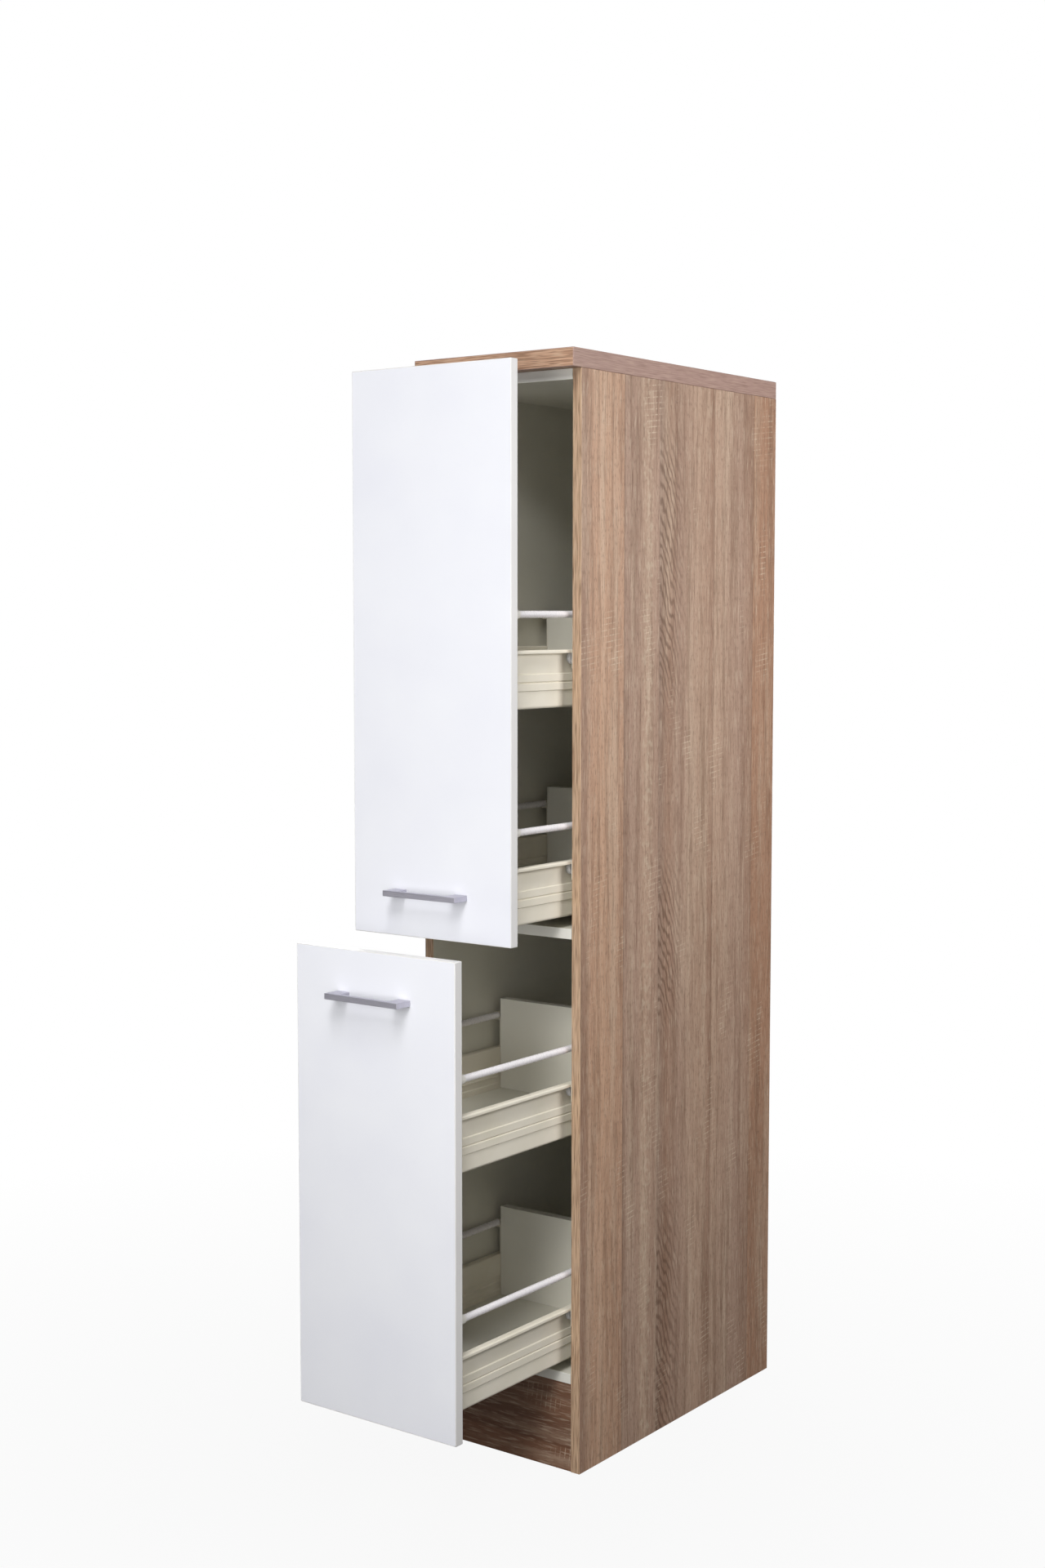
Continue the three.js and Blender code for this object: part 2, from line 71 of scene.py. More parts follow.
def in_scene(name, data):
    """An object with this data, in the scene."""
    made = bpy.data.objects.new(name, data)
    bpy.context.scene.collection.objects.link(made)
    return made


optics = bpy.data.cameras.new("camera")
optics.sensor_width = SENSOR_LONG_SIDE
optics.lens = FOCAL_PIXELS / PHOTO_HEIGHT * SENSOR_LONG_SIDE
camera = in_scene("camera", optics)
camera.location = CAMERA_PLACE
camera.rotation_euler = (math.radians(90 + CAMERA_TILT), 0, math.radians(CAMERA_TURN))
bpy.context.scene.camera = camera
bpy.context.scene.view_settings.view_transform = "Standard"
print(f"Lens: {optics.lens:.1f} mm")

# %% [markdown]
# ## Colours and nodes
# A colour is picked on a screen as an sRGB hex value, but a shader computes with linear light, so
# one function turns the first into the second. Another adds a node with its settings and links and
# hands back one of its outputs, so that a finish reads from its pattern to its surface. Where the
# roughness varies, it follows the pattern of the relief, as wear does.

# %% Helpers for finishes
def linear(hex_code):
    """An sRGB hex colour as the linear colour that a shader works with."""
    channels = [int(hex_code[start:start + 2], 16) / 255 for start in (0, 2, 4)]
    return tuple(c / 12.92 if c <= 0.04045 else ((c + 0.055) / 1.055) ** 2.4 for c in channels) + (1.0,)


def add(finish, kind, inputs=None, output=0, stops=None, **settings):
    """Adds a node. Inputs are values or other nodes' outputs, and one of its own comes back."""
    made = finish.node_tree.nodes.new(kind)
    for name, value in settings.items():
        setattr(made, name, value)
    for socket, value in (inputs or {}).items():
        if isinstance(value, bpy.types.NodeSocket):
            finish.node_tree.links.new(value, made.inputs[socket])
        else:
            made.inputs[socket].default_value = value
    if stops:
        ramp = made.color_ramp
        while len(ramp.elements) < len(stops):
            ramp.elements.new(1.0)
        for element, (position, colour) in zip(ramp.elements, stops):
            element.position = position
            element.color = linear(colour)
    return made.outputs[output] if made.outputs else None


def new_finish(name):
    """An empty node material, and the place on the object in real metres."""
    finish = bpy.data.materials.new(name)
    finish.use_nodes = True
    finish.node_tree.nodes.clear()
    return finish, add(finish, "ShaderNodeTexCoord", output="Object")


def surface(finish, colour, roughness, relief, depth, strength, **rest):
    """Closes a finish. Its relief is as deep as this in millimetres, and may vary the roughness."""
    if isinstance(roughness, tuple):
        roughness = add(finish, "ShaderNodeMapRange", {0: relief, 3: roughness[0], 4: roughness[1]})
    bump = add(finish, "ShaderNodeBump", {
        "Height": relief, "Distance": depth * MM, "Strength": strength,
    })
    shader = add(finish, "ShaderNodeBsdfPrincipled", {
        "Base Color": colour, "Roughness": roughness, "Normal": bump, **rest,
    })
    add(finish, "ShaderNodeOutputMaterial", {"Surface": shader})
    return finish


print("Oak's mid tone in linear light:", [round(c, 3) for c in linear("B49A84")])

# %% [markdown]
# ## Patterns with real sizes
# Wood fibres, pressed pores and the grit of a powder coat are all noise with a size. Here noise
# gets its cell's width and length in millimetres, so a long cell is a fibre and a square one is grit.
# Patterns read Object coordinates: every piece sits at the origin, so these are real metres. A
# finish is then built as a painter would, one layer of colour over another.

# %% Helpers for patterns
def noise_cells(finish, place, width, length, depth=None, detail=2.0, seed=0.0):
    """Noise whose cells have this real size in millimetres."""
    per_metre = (1000 / width, 1000 / length, 1000 / (depth or width))
    cells = {0: place, 1: per_metre, 2: (seed, seed, seed)}
    cells = add(finish, "ShaderNodeVectorMath", cells, operation="MULTIPLY_ADD")
    return add(finish, "ShaderNodeTexNoise", {"Vector": cells, "Scale": 1.0, "Detail": detail}, "Fac")


def layer(finish, under, colour, pattern, low, high, most=1.0):
    """Lays a colour over another where a pattern rises from one level to another."""
    share = add(finish, "ShaderNodeMapRange", {0: pattern, 1: low, 2: high, 4: most})
    return add(finish, "ShaderNodeMix", {0: share, 6: under, 7: linear(colour)}, 2, data_type="RGBA")


def crests(finish, level, spacing, low, high):
    """Lines at this spacing along a level: the crests of a wave, where it rises between two values."""
    turns = add(finish, "ShaderNodeMath", {0: level, 1: math.tau / spacing}, operation="MULTIPLY")
    wave = add(finish, "ShaderNodeMath", {0: turns}, operation="SINE")
    return add(finish, "ShaderNodeMapRange", {0: wave, 1: low, 2: high})


def where_all(finish, share, others):
    """The share of the places where a pattern and all the others are."""
    for other in others:
        share = add(finish, "ShaderNodeMath", {0: share, 1: other}, operation="MULTIPLY")
    return share


def flat_place(finish, place, across, along):
    """The place laid flat for a grain: one axis across it and one along it."""
    axes = add(finish, "ShaderNodeSeparateXYZ", {0: place}).node.outputs
    return add(finish, "ShaderNodeCombineXYZ", {"X": axes[across], "Y": axes[along]})


print("Patterns: noise with real sizes, layers, crests")

# %% [markdown]
# ## Oak decor
# The carcass is chipboard with a printed paper of rough-sawn oak strips, side by side, with fine
# fibres, a few arched growth rings, and pale marks that a band saw leaves across the grain.
# One wave texture would look like any wood, so the real marks are layered, each with its own size.
# First come the strips: tones at their places across the board, where two stops a millimetre apart
# make a hard border.

# %% Tones of the strips
def tones_along(finish, at, tones):
    """Tones at their places along an axis, in millimetres."""
    first, last = tones[0][0], tones[-1][0]
    share = add(finish, "ShaderNodeMapRange", {0: at, 1: first * MM, 2: last * MM})
    stops = [((place - first) / (last - first), colour) for place, colour in tones]
    return add(finish, "ShaderNodeValToRGB", {0: share}, "Color", stops=stops)


OAK_TONES = {
    "honey": "CAA387", "tan": "BF987E", "pale": "BD9E88", "ash": "B0917E", "umber": "A88671",
    "shade": "9C8170", "rust": "AF866C", "joint": "8D7260", "shaded_cocoa": "7C5640", "shaded_bark": "6A4632",
}
PANEL_STRIPS = [
    (-10, "umber"), (3, "umber"), (14, "tan"), (45, "honey"), (105, "tan"), (106, "joint"),
    (107, "joint"), (108, "ash"), (142, "ash"), (165, "pale"), (202, "ash"), (203, "joint"),
    (204, "shade"), (230, "umber"), (260, "ash"), (320, "pale"), (363, "umber"), (364, "joint"),
    (365, "joint"), (366, "pale"), (450, "ash"), (487, "umber"), (488, "joint"), (490, "rust"),
    (562, "rust"),
]
# The plinth's two tones are far darker than the sides': the oak's tone plus painted shade, the shadow
# under the open lower front.
PLINTH_SHADED_STRIPS = [
    (0, "shaded_cocoa"), (34, "shaded_cocoa"), (36, "shaded_bark"), (80, "shaded_bark"), (82, "shaded_cocoa"), (110, "shaded_cocoa"),
    (112, "shaded_bark"), (140, "shaded_cocoa"),
]
TOP_STRIPS = [
    (-151, "ash"), (-60, "umber"), (-58, "pale"), (40, "umber"), (42, "pale"), (151, "umber"),
]
print("Oak tones:", len(OAK_TONES), "on strips:", len(PANEL_STRIPS))

# %% [markdown]
# ## Fibres, rings and saw marks
# Real fibres are half a millimetre wide, too fine for this distance, so they are drawn several
# times as wide. They wander sideways a little, since no trunk grows straight.
# Arched rings appear where a saw cuts a trunk at a slant: round at the strip's border, then falling
# into straight grain. The length of a vector with one fixed side has just this shape.
# A band saw leaves combs of short scratches, a centimetre apart, and silvery flecks stand where the
# cut follows the wood's rays.

# %% Sizes of the oak's marks
OAK_LAYERS = [
    # colour, cell's width and length in millimetres, seed, from level, to level, most cover
    ("8A6A55", 60, 520, 2.0, 0.45, 0.75, 0.32),
    ("D6BEA6", 24, 620, 15.0, 0.50, 0.68, 0.36),
    ("7E5E48", 12, 420, 5.0, 0.50, 0.66, 0.42),
    ("6C4E3A", 2.8, 60, 0.0, 0.50, 0.70, 0.40),
    ("E0CCB5", 2.8, 36, 14.0, 0.52, 0.70, 0.32),
    ("5C4130", 2.4, 9, 3.0, 0.54, 0.70, 0.36),
]
WANDER = (60, 240)
WANDER_REACH = 9 * MM
RING_COLOUR, RING_COVER = "644835", 0.62
RING_SPACING = 24 * MM
RING_SLOPE = 2.1
RING_ROUNDING = 16 * MM
RING_REACH = (30 * MM, 80 * MM)
RING_BEND = (26, 90)
RING_UNEVENNESS = 70 * MM
STRONG, FAINT, WEAK = "FFFFFF", "606060", "101010"
RING_HEIGHTS = [
    (0, STRONG), (280, STRONG), (420, WEAK), (620, WEAK), (700, STRONG), (860, STRONG),
    (960, WEAK), (1120, WEAK), (1230, STRONG), (1540, STRONG), (1620, FAINT), (1700, FAINT),
]
SAW_COLOUR, SAW_COVER = "E0CDB4", 0.60
SAW_PITCH = 9 * MM
SAW_PATCH = (56, 170)
SAW_SLANT = 0.12
SAW_WEAR = (5, 26)
FLECK_COLOUR, FLECK_COVER = "D3C0A8", 0.38
FLECKS = (9, 12)
FLECK_FADE = 12 * MM
OAK_ROUGHNESS = (0.50, 0.66)
FILM_IOR = 1.5
print("Oak layers:", len(OAK_LAYERS), "rings", round(RING_SPACING / MM), "mm apart")


# %% Rings and saw marks
def growth_rings(finish, axes, plane, start):
    """Arched rings that begin at a strip's border and run down into straight grain."""
    distance = add(finish, "ShaderNodeMath", {0: axes[0], 1: start}, operation="SUBTRACT")
    steep = add(finish, "ShaderNodeMath", {0: distance, 1: RING_SLOPE}, operation="MULTIPLY")
    arch = add(finish, "ShaderNodeCombineXYZ", {"X": steep, "Y": RING_ROUNDING})
    fall = add(finish, "ShaderNodeVectorMath", {0: arch}, "Value", operation="LENGTH")
    level = add(finish, "ShaderNodeMath", {0: axes[1], 1: fall}, operation="ADD")
    level = add(finish, "ShaderNodeMath", {
        0: noise_cells(finish, plane, *RING_BEND, seed=4.0), 1: RING_UNEVENNESS, 2: level,
    }, operation="MULTIPLY_ADD")
    rings = crests(finish, level, RING_SPACING, -0.1, 0.95)
    inside = add(finish, "ShaderNodeMapRange", {0: distance, 2: 0.5 * MM})
    strong_to, gone_at = RING_REACH
    near = add(finish, "ShaderNodeMapRange", {0: distance, 1: gone_at, 2: strong_to})
    return where_all(finish, rings, (inside, near, tones_along(finish, axes[1], RING_HEIGHTS)))


def saw_marks(finish, axes, plane):
    """Combs of short scratches across the grain, in patches."""
    level = {0: axes[0], 1: -SAW_SLANT, 2: axes[1]}
    level = add(finish, "ShaderNodeMath", level, operation="MULTIPLY_ADD")
    patch = noise_cells(finish, plane, *SAW_PATCH, seed=7.0)
    patch = add(finish, "ShaderNodeMapRange", {0: patch, 1: 0.58, 2: 0.70})
    worn = noise_cells(finish, plane, *SAW_WEAR, detail=1.0, seed=8.0)
    worn = add(finish, "ShaderNodeMapRange", {0: worn, 1: 0.36, 2: 0.60})
    return where_all(finish, crests(finish, level, SAW_PITCH, 0.72, 0.98), (patch, worn))


print("Rings reach", round(RING_REACH[1] / MM), "mm")


# %% The oak foil
def oak_foil(name, across, along, strips, ring_start=None, fleck_strip=None):
    """Printed oak decor: its strips lie side by side on one axis and run along another."""
    finish, place = new_finish(name)
    plane = flat_place(finish, place, across, along)
    axes = add(finish, "ShaderNodeSeparateXYZ", {0: plane}).node.outputs
    sway = noise_cells(finish, plane, *WANDER, detail=1.0, seed=11.0)
    swayed = {0: sway, 1: (WANDER_REACH, 0, 0), 2: plane}
    swayed = add(finish, "ShaderNodeVectorMath", swayed, operation="MULTIPLY_ADD")
    colour = tones_along(finish, axes[0], [(at, OAK_TONES[tone]) for at, tone in strips])
    for tone, width, length, seed, low, high, most in OAK_LAYERS:
        marks = noise_cells(finish, swayed, width, length, seed=seed)
        colour = layer(finish, colour, tone, marks, low, high, most)
    if ring_start is not None:
        rings = growth_rings(finish, axes, swayed, ring_start)
        colour = layer(finish, colour, RING_COLOUR, rings, 0, 1, RING_COVER)
    if fleck_strip is not None:
        borders = zip(fleck_strip, (FLECK_FADE, -FLECK_FADE))
        flecks = where_all(finish, noise_cells(finish, swayed, *FLECKS, detail=1.0, seed=12.0), [
            add(finish, "ShaderNodeMapRange", {0: axes[0], 1: border, 2: border + fade})
            for border, fade in borders
        ])
        colour = layer(finish, colour, FLECK_COLOUR, flecks, 0.50, 0.68, FLECK_COVER)
    colour = layer(finish, colour, SAW_COLOUR, saw_marks(finish, axes, swayed), 0, 1, SAW_COVER)
    return surface(finish, colour, OAK_ROUGHNESS, marks, 0.08, 0.5, IOR=FILM_IOR)


print("Oak roughness:", OAK_ROUGHNESS)

# %% Oak for each board
X_AXIS, Y_AXIS, Z_AXIS = 0, 1, 2
RING_START = 204 * MM
FLECK_STRIP = (146 * MM, 196 * MM)

oak_upright = oak_foil("oak_foil_upright", Y_AXIS, Z_AXIS, PANEL_STRIPS, RING_START, FLECK_STRIP)
# The plinth's foil: its dark tones carry painted shade.
shaded_oak_lying = oak_foil("oak_foil_lying_painted_shade", Z_AXIS, X_AXIS, PLINTH_SHADED_STRIPS)
oak_top = oak_foil("oak_foil_top", X_AXIS, Y_AXIS, TOP_STRIPS)
print("Oak finishes:", [m.name for m in (oak_upright, shaded_oak_lying, oak_top)])

# %% [markdown]
# ## Oak edge band
# The edges in view are closed with a thin band, printed like oak but paler and warmer than the
# faces, with dark streaks just wide enough to show.

# %% Edge bands
BAND_STREAK = (2.2, 80)
BAND_FIBRE = (1.5, 34)


def edge_band(name, across, along, pale, dark, contrast):
    """A printed edge band, with streaks along the edge."""
    finish, place = new_finish(name)
    plane = flat_place(finish, place, across, along)
    streaks = noise_cells(finish, plane, *BAND_STREAK, seed=9.0)
    fibres = noise_cells(finish, plane, *BAND_FIBRE, detail=1.0, seed=2.0)
    colour = layer(finish, linear(pale), dark, streaks, 0.46, 0.62, 0.8 * contrast)
    colour = layer(finish, colour, "E0C8AC", fibres, 0.54, 0.70, 0.5 * contrast)
    colour = layer(finish, colour, "5E402C", fibres, 0.46, 0.30, 0.8 * contrast)
    return surface(finish, colour, 0.5, streaks, 0.06, 0.4, IOR=FILM_IOR)


band_upright = edge_band("oak_edge_band_upright", X_AXIS, Z_AXIS, "C8A88A", "8E6A50", 0.75)
band_across = edge_band("oak_edge_band_across", Z_AXIS, X_AXIS, "CEA68A", "7A5238", 0.75)
band_back = edge_band("oak_edge_band_back", Z_AXIS, Y_AXIS, "AE8F84", "8A6C60", 0.35)
print("Bands:", [m.name for m in (band_upright, band_across, band_back)])

# %% [markdown]
# ## White boards
# The inner boards have white melamine, a hard matt film with a very fine pearl texture. The trays'
# backs get a whiter copy of it, which is painted light. The fronts have a smoother foil that is a
# touch bluer, and a band that is grey rather than cream. All are plain colours, so their life comes
# from a fine relief and a slight, large cloudiness, as a pressed film never lies dead flat.

# %% White melamine, front foil and their bands
FILM_CLOUD = 160


def around(roughness):
    """A roughness a fifth lower and a fifth higher, for a finish that varies."""
    return 0.8 * roughness, 1.2 * roughness


def pressed_white(name, colour, shade, roughness, grain, depth):
    """A white film pressed on a board: slight clouds, and a relief with cells of this size."""
    finish, place = new_finish(name)
    clouds = noise_cells(finish, place, FILM_CLOUD, FILM_CLOUD)
    pearl = noise_cells(finish, place, grain, grain)
    colour = layer(finish, linear(colour), shade, clouds, 0.35, 0.75)
    return surface(finish, colour, around(roughness), pearl, depth, 0.35, IOR=FILM_IOR)


melamine = pressed_white("white_melamine", "E2DFD2", "DBD8CA", 0.5, 1.6, 0.03)
# The trays' backs: a whiter copy of the melamine, painted light.
lit_tray_melamine = pressed_white("white_tray_melamine_painted_light", "F0EDE1", "EAE7DA", 0.5, 1.6, 0.03)
front_foil = pressed_white("white_front_foil", "EFF0F5", "EAEBF2", 0.34, 5.0, 0.02)
white_band = pressed_white("white_edge_band", "F3F1E8", "ECEAE1", 0.4, 2.0, 0.02)
front_band = pressed_white("grey_white_front_band", "ECEAE8", "E6E4E3", 0.4, 2.0, 0.02)
whites = (melamine, lit_tray_melamine, front_foil, white_band, front_band)
print("White finishes:", [m.name for m in whites])

# %% [markdown]
# ## Raw chipboard and hardboard
# Hidden edges aren't banded: there the board's chips show, pale and brown flakes a few millimetres
# long. The back is hardboard, brown and felted outside. Voronoi cells make the flakes, since chips
# have borders, and fine noise makes the felt.

# %% Raw chipboard and hardboard
CHIP = (2.4, 3.8, 2.4)
WOOD_IOR = 1.45

chipboard, place = new_finish("raw_chipboard")
per_chip = tuple(1000 / size for size in CHIP)
place = add(chipboard, "ShaderNodeVectorMath", {0: place, 1: per_chip}, operation="MULTIPLY")
chips = add(chipboard, "ShaderNodeTexVoronoi", {"Vector": place, "Scale": 1.0}, "Color")
tones = add(chipboard, "ShaderNodeSeparateColor", {0: chips})
gaps = chips.node.outputs["Distance"]
colour = layer(chipboard, linear("C6A67C"), "8B6743", tones, 0.15, 1.0, 0.85)
surface(chipboard, colour, 0.85, gaps, 0.2, 0.5, IOR=WOOD_IOR)

hardboard, place = new_finish("brown_hardboard")
felt = noise_cells(hardboard, place, 2.2, 2.2, detail=4.0)
clouds = noise_cells(hardboard, place, 90, 90)
colour = layer(hardboard, linear("9A7650"), "7A5A3B", felt, 0.35, 0.7, 0.8)
colour = layer(hardboard, colour, "AE8A62", clouds, 0.5, 0.8, 0.4)
surface(hardboard, colour, 0.75, felt, 0.12, 0.6, IOR=WOOD_IOR)
print("Raw finishes:", chipboard.name, hardboard.name)

# %% [markdown]
# ## Coated steel, metal and plastic
# Tray sides and runners have a cream powder coat: paint dust that melts into a skin with a faint
# orange peel. The rails' coat is glossier, and their sockets and the rollers are moulded plastic.
# The handles are satin nickel, brushed along their length, and axles and screws are zinc-plated.

# %% Powder coats and moulded plastics
SKIN_CLOUD = 60


def soft_skin(name, colour, shade, roughness, peel, ior=1.5):
    """Melted paint or moulded plastic: a cloudy colour under a skin with a peel of this size."""
    finish, place = new_finish(name)
    skin = noise_cells(finish, place, peel, peel, detail=1.0)
    clouds = noise_cells(finish, place, SKIN_CLOUD, SKIN_CLOUD)
    colour = layer(finish, linear(colour), shade, clouds, 0.4, 0.7)
    return surface(finish, colour, around(roughness), skin, 0.05, 0.25, IOR=ior)


cream_coat = soft_skin("cream_powder_coat", "F0E9D9", "EAE3D1", 0.42, 2.2)
rail_coat = soft_skin("white_rail_coat", "F4F0F2", "EEEAEC", 0.28, 3.0)
plastic = soft_skin("white_socket_plastic", "F2EFE8", "ECE9E1", 0.36, 1.4)
nylon = soft_skin("grey_nylon", "C9C8C8", "BDBCBC", 0.45, 1.8, ior=1.53)
coats = (cream_coat, rail_coat, plastic, nylon)
print("Coats and plastics:", [m.name for m in coats])


# %% Satin nickel and zinc
def metal(name, colour, shade, roughness, width, length):
    """A metal whose brushed lines have this width and length."""
    finish, place = new_finish(name)
    lines = noise_cells(finish, place, length, width, width, detail=3.0)
    colour = layer(finish, linear(colour), shade, lines, 0.35, 0.7)
    return surface(finish, colour, around(roughness), lines, 0.02, 0.3, Metallic=1.0)


satin_nickel = metal("satin_nickel", "D2D0DA", "C2BFCB", 0.46, 0.6, 18)
zinc = metal("zinc_plated_steel", "C9C9C4", "AFAFAB", 0.34, 1.2, 1.2)
print("Metals:", satin_nickel.name, zinc.name)

# %% [markdown]
# ## The studio
# The photograph is a cut-out on white, and its shadows say how it was lit. The handles' legs throw
# soft shadows down, but their bars throw almost none: the main light is tall and stands high in
# front. A second one in front, at chest height, fills the fronts and reaches into the cabinet. The
# oak side has its own light at the right, so high and so far back that the oak darkens towards the
# floor and the inside stays dark; a weak one lower down softens that. The handles' bars mirror
# a very wide and dim one at the left. Two more stand behind, for whoever walks round the cabinet.
# The floor is a wide disc. Seen by the camera it is lifted towards white, as in the photograph.

# %% Floor and surroundings
FLOOR_RADIUS = 40.0
FADE = (0.3, 2.0)
NEAR_LIFT = 0.93
FLOOR_GAP = 0.5 * MM
SKY_STRENGTH = 0.02

finish, place = new_finish("pale_studio_floor")
clouds = noise_cells(finish, place, 900, 900)
matt = add(finish, "ShaderNodeBsdfPrincipled", {
    "Base Color": layer(finish, linear("757573"), "706F6D", clouds, 0.3, 0.7),
    "Roughness": 0.9,
})
white = add(finish, "ShaderNodeEmission", {"Color": (1, 1, 1, 1), "Strength": 1.0})
far = add(finish, "ShaderNodeVectorMath", {0: place}, "Value", operation="LENGTH")
lift = add(finish, "ShaderNodeMapRange", {0: far, 1: FADE[0], 2: FADE[1], 3: NEAR_LIFT, 4: 1.0})
seen = add(finish, "ShaderNodeLightPath", output="Is Camera Ray")
lift = add(finish, "ShaderNodeMath", {0: lift, 1: seen}, operation="MULTIPLY")
both = add(finish, "ShaderNodeMixShader", {0: lift, 1: matt, 2: white})
add(finish, "ShaderNodeOutputMaterial", {"Surface": both})

bm = bmesh.new()
bmesh.ops.create_circle(bm, cap_ends=True, segments=96, radius=FLOOR_RADIUS)
mesh = bpy.data.meshes.new("floor")
bm.to_mesh(mesh)
bm.free()
mesh.materials.append(finish)
floor = in_scene("floor", mesh)
floor.location.z = -FLOOR_GAP

world = bpy.data.worlds.new("studio")
world.use_nodes = True
world.node_tree.nodes.clear()
sky = add(world, "ShaderNodeBackground", {"Color": linear("F2F4FA"), "Strength": SKY_STRENGTH})
white = add(world, "ShaderNodeBackground", {"Color": (1, 1, 1, 1), "Strength": 1.0})
seen = add(world, "ShaderNodeLightPath", output="Is Camera Ray")
both = add(world, "ShaderNodeMixShader", {0: seen, 1: sky, 2: white})
add(world, "ShaderNodeOutputWorld", {"Surface": both})
bpy.context.scene.world = world
print("Floor radius", FLOOR_RADIUS, "m, sky strength", SKY_STRENGTH)

# %% Lights
LIGHTS = [
    # name, watts, width and height in metres, place, target
    ("high", 108, 0.8, 2.4, (1.32, -2.41, 4.00), (0.0, -0.2, 0.9)),
    ("front", 23.5, 1.1, 1.4, (0.42, -2.13, 1.20), (0.0, 0.0, 0.95)),
    ("right", 18, 0.7, 0.7, (1.60, 0.64, 1.58), (0.15, 0.1, 1.20)),
    ("right_low", 1.2, 0.6, 0.6, (1.00, -1.20, 0.80), (0.1, -0.15, 0.60)),
    ("left_rear", 28, 1.0, 1.0, (-1.60, 1.70, 1.80), (-0.1, 0.3, 0.90)),
    ("back", 26, 1.0, 1.6, (-0.20, 2.40, 1.30), (-0.1, 0.3, 0.90)),
    ("left_front", 8, 1.8, 1.8, (-2.40, -2.90, 0.80), (0.0, -0.3, 0.90)),
]

for name, watts, width, height, place, target in LIGHTS:
    lamp = bpy.data.lights.new(name, "AREA")
    lamp.shape, lamp.energy, lamp.size, lamp.size_y = "RECTANGLE", watts, width, height
    light = in_scene(name, lamp)
    light.location = place
    light.rotation_euler = (Vector(target) - Vector(place)).to_track_quat("-Z", "Y").to_euler()
print("Lights:", [values[0] for values in LIGHTS])

# %% [markdown]
# ## How a piece is finished
# A piece starts as a bmesh, is shaped with the operators behind the editor's tools, and becomes an
# object that rides on a CAD body and stands for the nodes that it replaces. Only curved strips are
# smoothed, so that a wide board shows no false gradient.

# %% Helpers for pieces
FLAT = 0.9995
SHARP_ANGLE = math.radians(35)
MERGE = 0.001 * MM


def shade(bm, all_round=False):
    """Smooths curved strips. Round pieces are smooth all round, with sharp rims."""
    bm.normal_update()
    for face in bm.faces:
        straight = max(abs(value) for value in face.normal) > FLAT
        face.smooth = all_round or not straight
    for edge in bm.edges:
        if len(edge.link_faces) == 2:
            edge.smooth = edge.calc_face_angle() < SHARP_ANGLE


def finished(name, bm, finishes, body, stands_for=(), all_round=False):
    """Makes a bmesh a piece with these finishes that rides on a body and hides the nodes it stands for.
    """
    shade(bm, all_round)
    mesh = bpy.data.meshes.new(name)
    bm.to_mesh(mesh)
    bm.free()
    for finish in finishes:
        mesh.materials.append(finish)
    piece = in_scene(name, mesh)
    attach(piece, body)
    if stands_for:
        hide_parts(*stands_for)
    return piece


def rounded(bm, geom, radius, segments=2, affect="EDGES"):
    """Rounds edges, or a flat face's corners, to this radius."""
    bmesh.ops.bevel(
        bm, geom=geom, offset=radius, segments=segments, profile=0.5, affect=affect, material=-1
    )


def block(bm, low, high, radius=0.0, segments=2):
    """Adds a block between two corners, its edges rounded; returns its faces."""
    before = set(bm.faces)
    corners = bmesh.ops.create_cube(bm, size=1)["verts"]
    bmesh.ops.scale(bm, vec=Vector(high) - Vector(low), verts=corners)
    bmesh.ops.translate(bm, vec=(Vector(low) + Vector(high)) / 2, verts=corners)
    if radius:
        edges = dict.fromkeys(edge for corner in corners for edge in corner.link_edges)
        rounded(bm, list(edges), radius, segments)
    return [face for face in bm.faces if face not in before]


def raised(bm, face, height):
    """Raises a flat face by this height into a closed prism."""
    lifted = bmesh.ops.extrude_face_region(bm, geom=[face])["geom"]
    top = [item for item in lifted if isinstance(item, bmesh.types.BMVert)]
    bmesh.ops.translate(bm, vec=(0, 0, height), verts=top)
    bmesh.ops.recalc_face_normals(bm, faces=bm.faces)


def on_side(bm, side):
    """Mirrors a piece that was drawn for the right when it belongs on the left."""
    if side < 0:
        bmesh.ops.scale(bm, vec=(-1, 1, 1), verts=bm.verts)
        bmesh.ops.reverse_faces(bm, faces=bm.faces)


def turned(bm, profile, centre, axis, steps):
    """Adds a piece turned round an axis from a profile of (radius, distance along the axis)."""
    old_verts, old_faces = set(bm.verts), set(bm.faces)
    along = Vector(axis)
    outwards = along.orthogonal().normalized()
    points = [bm.verts.new(Vector(centre) + outwards * radius + along * far) for radius, far in profile]
    lines = [bm.edges.new(pair) for pair in zip(points, points[1:])]
    bmesh.ops.spin(
        bm, geom=points + lines, cent=centre, axis=along, angle=math.tau, steps=steps, use_merge=True
    )
    new_verts = [vert for vert in bm.verts if vert not in old_verts]
    bmesh.ops.remove_doubles(bm, verts=new_verts, dist=MERGE)
    new_faces = [face for face in bm.faces if face not in old_faces]
    bmesh.ops.recalc_face_normals(bm, faces=new_faces)
    return new_faces


def finish_by_direction(faces, ways, otherwise):
    """Gives each face the finish number of the way that it looks, and rounded edges the other one."""
    for face in faces:
        face.normal_update()
        matches = [number for way, number in ways.items() if face.normal.dot(Vector(way)) > FLAT]
        face.material_index = matches[0] if matches else otherwise


LEFT, RIGHT = (-1, 0, 0), (1, 0, 0)
FRONT, REAR = (0, -1, 0), (0, 1, 0)
DOWN, UP = (0, 0, -1), (0, 0, 1)
SIDES = {"left": -1, "right": 1}


def board(
    name, node, finishes, ways, otherwise, radius, segments=2, body="carcass"
):
    """A board in a CAD node's box, with a finish for each way and one for its rounded edges."""
    bm = bmesh.new()
    block(bm, *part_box(node), radius, segments)
    finish_by_direction(bm.faces, ways, otherwise)
    return finished(name, bm, finishes, body, [node])


def in_mm(size):
    """A size in millimetres, to print."""
    return [round(value / MM, 1) for value in size]


print("Helpers: blocks, prisms, turned pieces, boards")

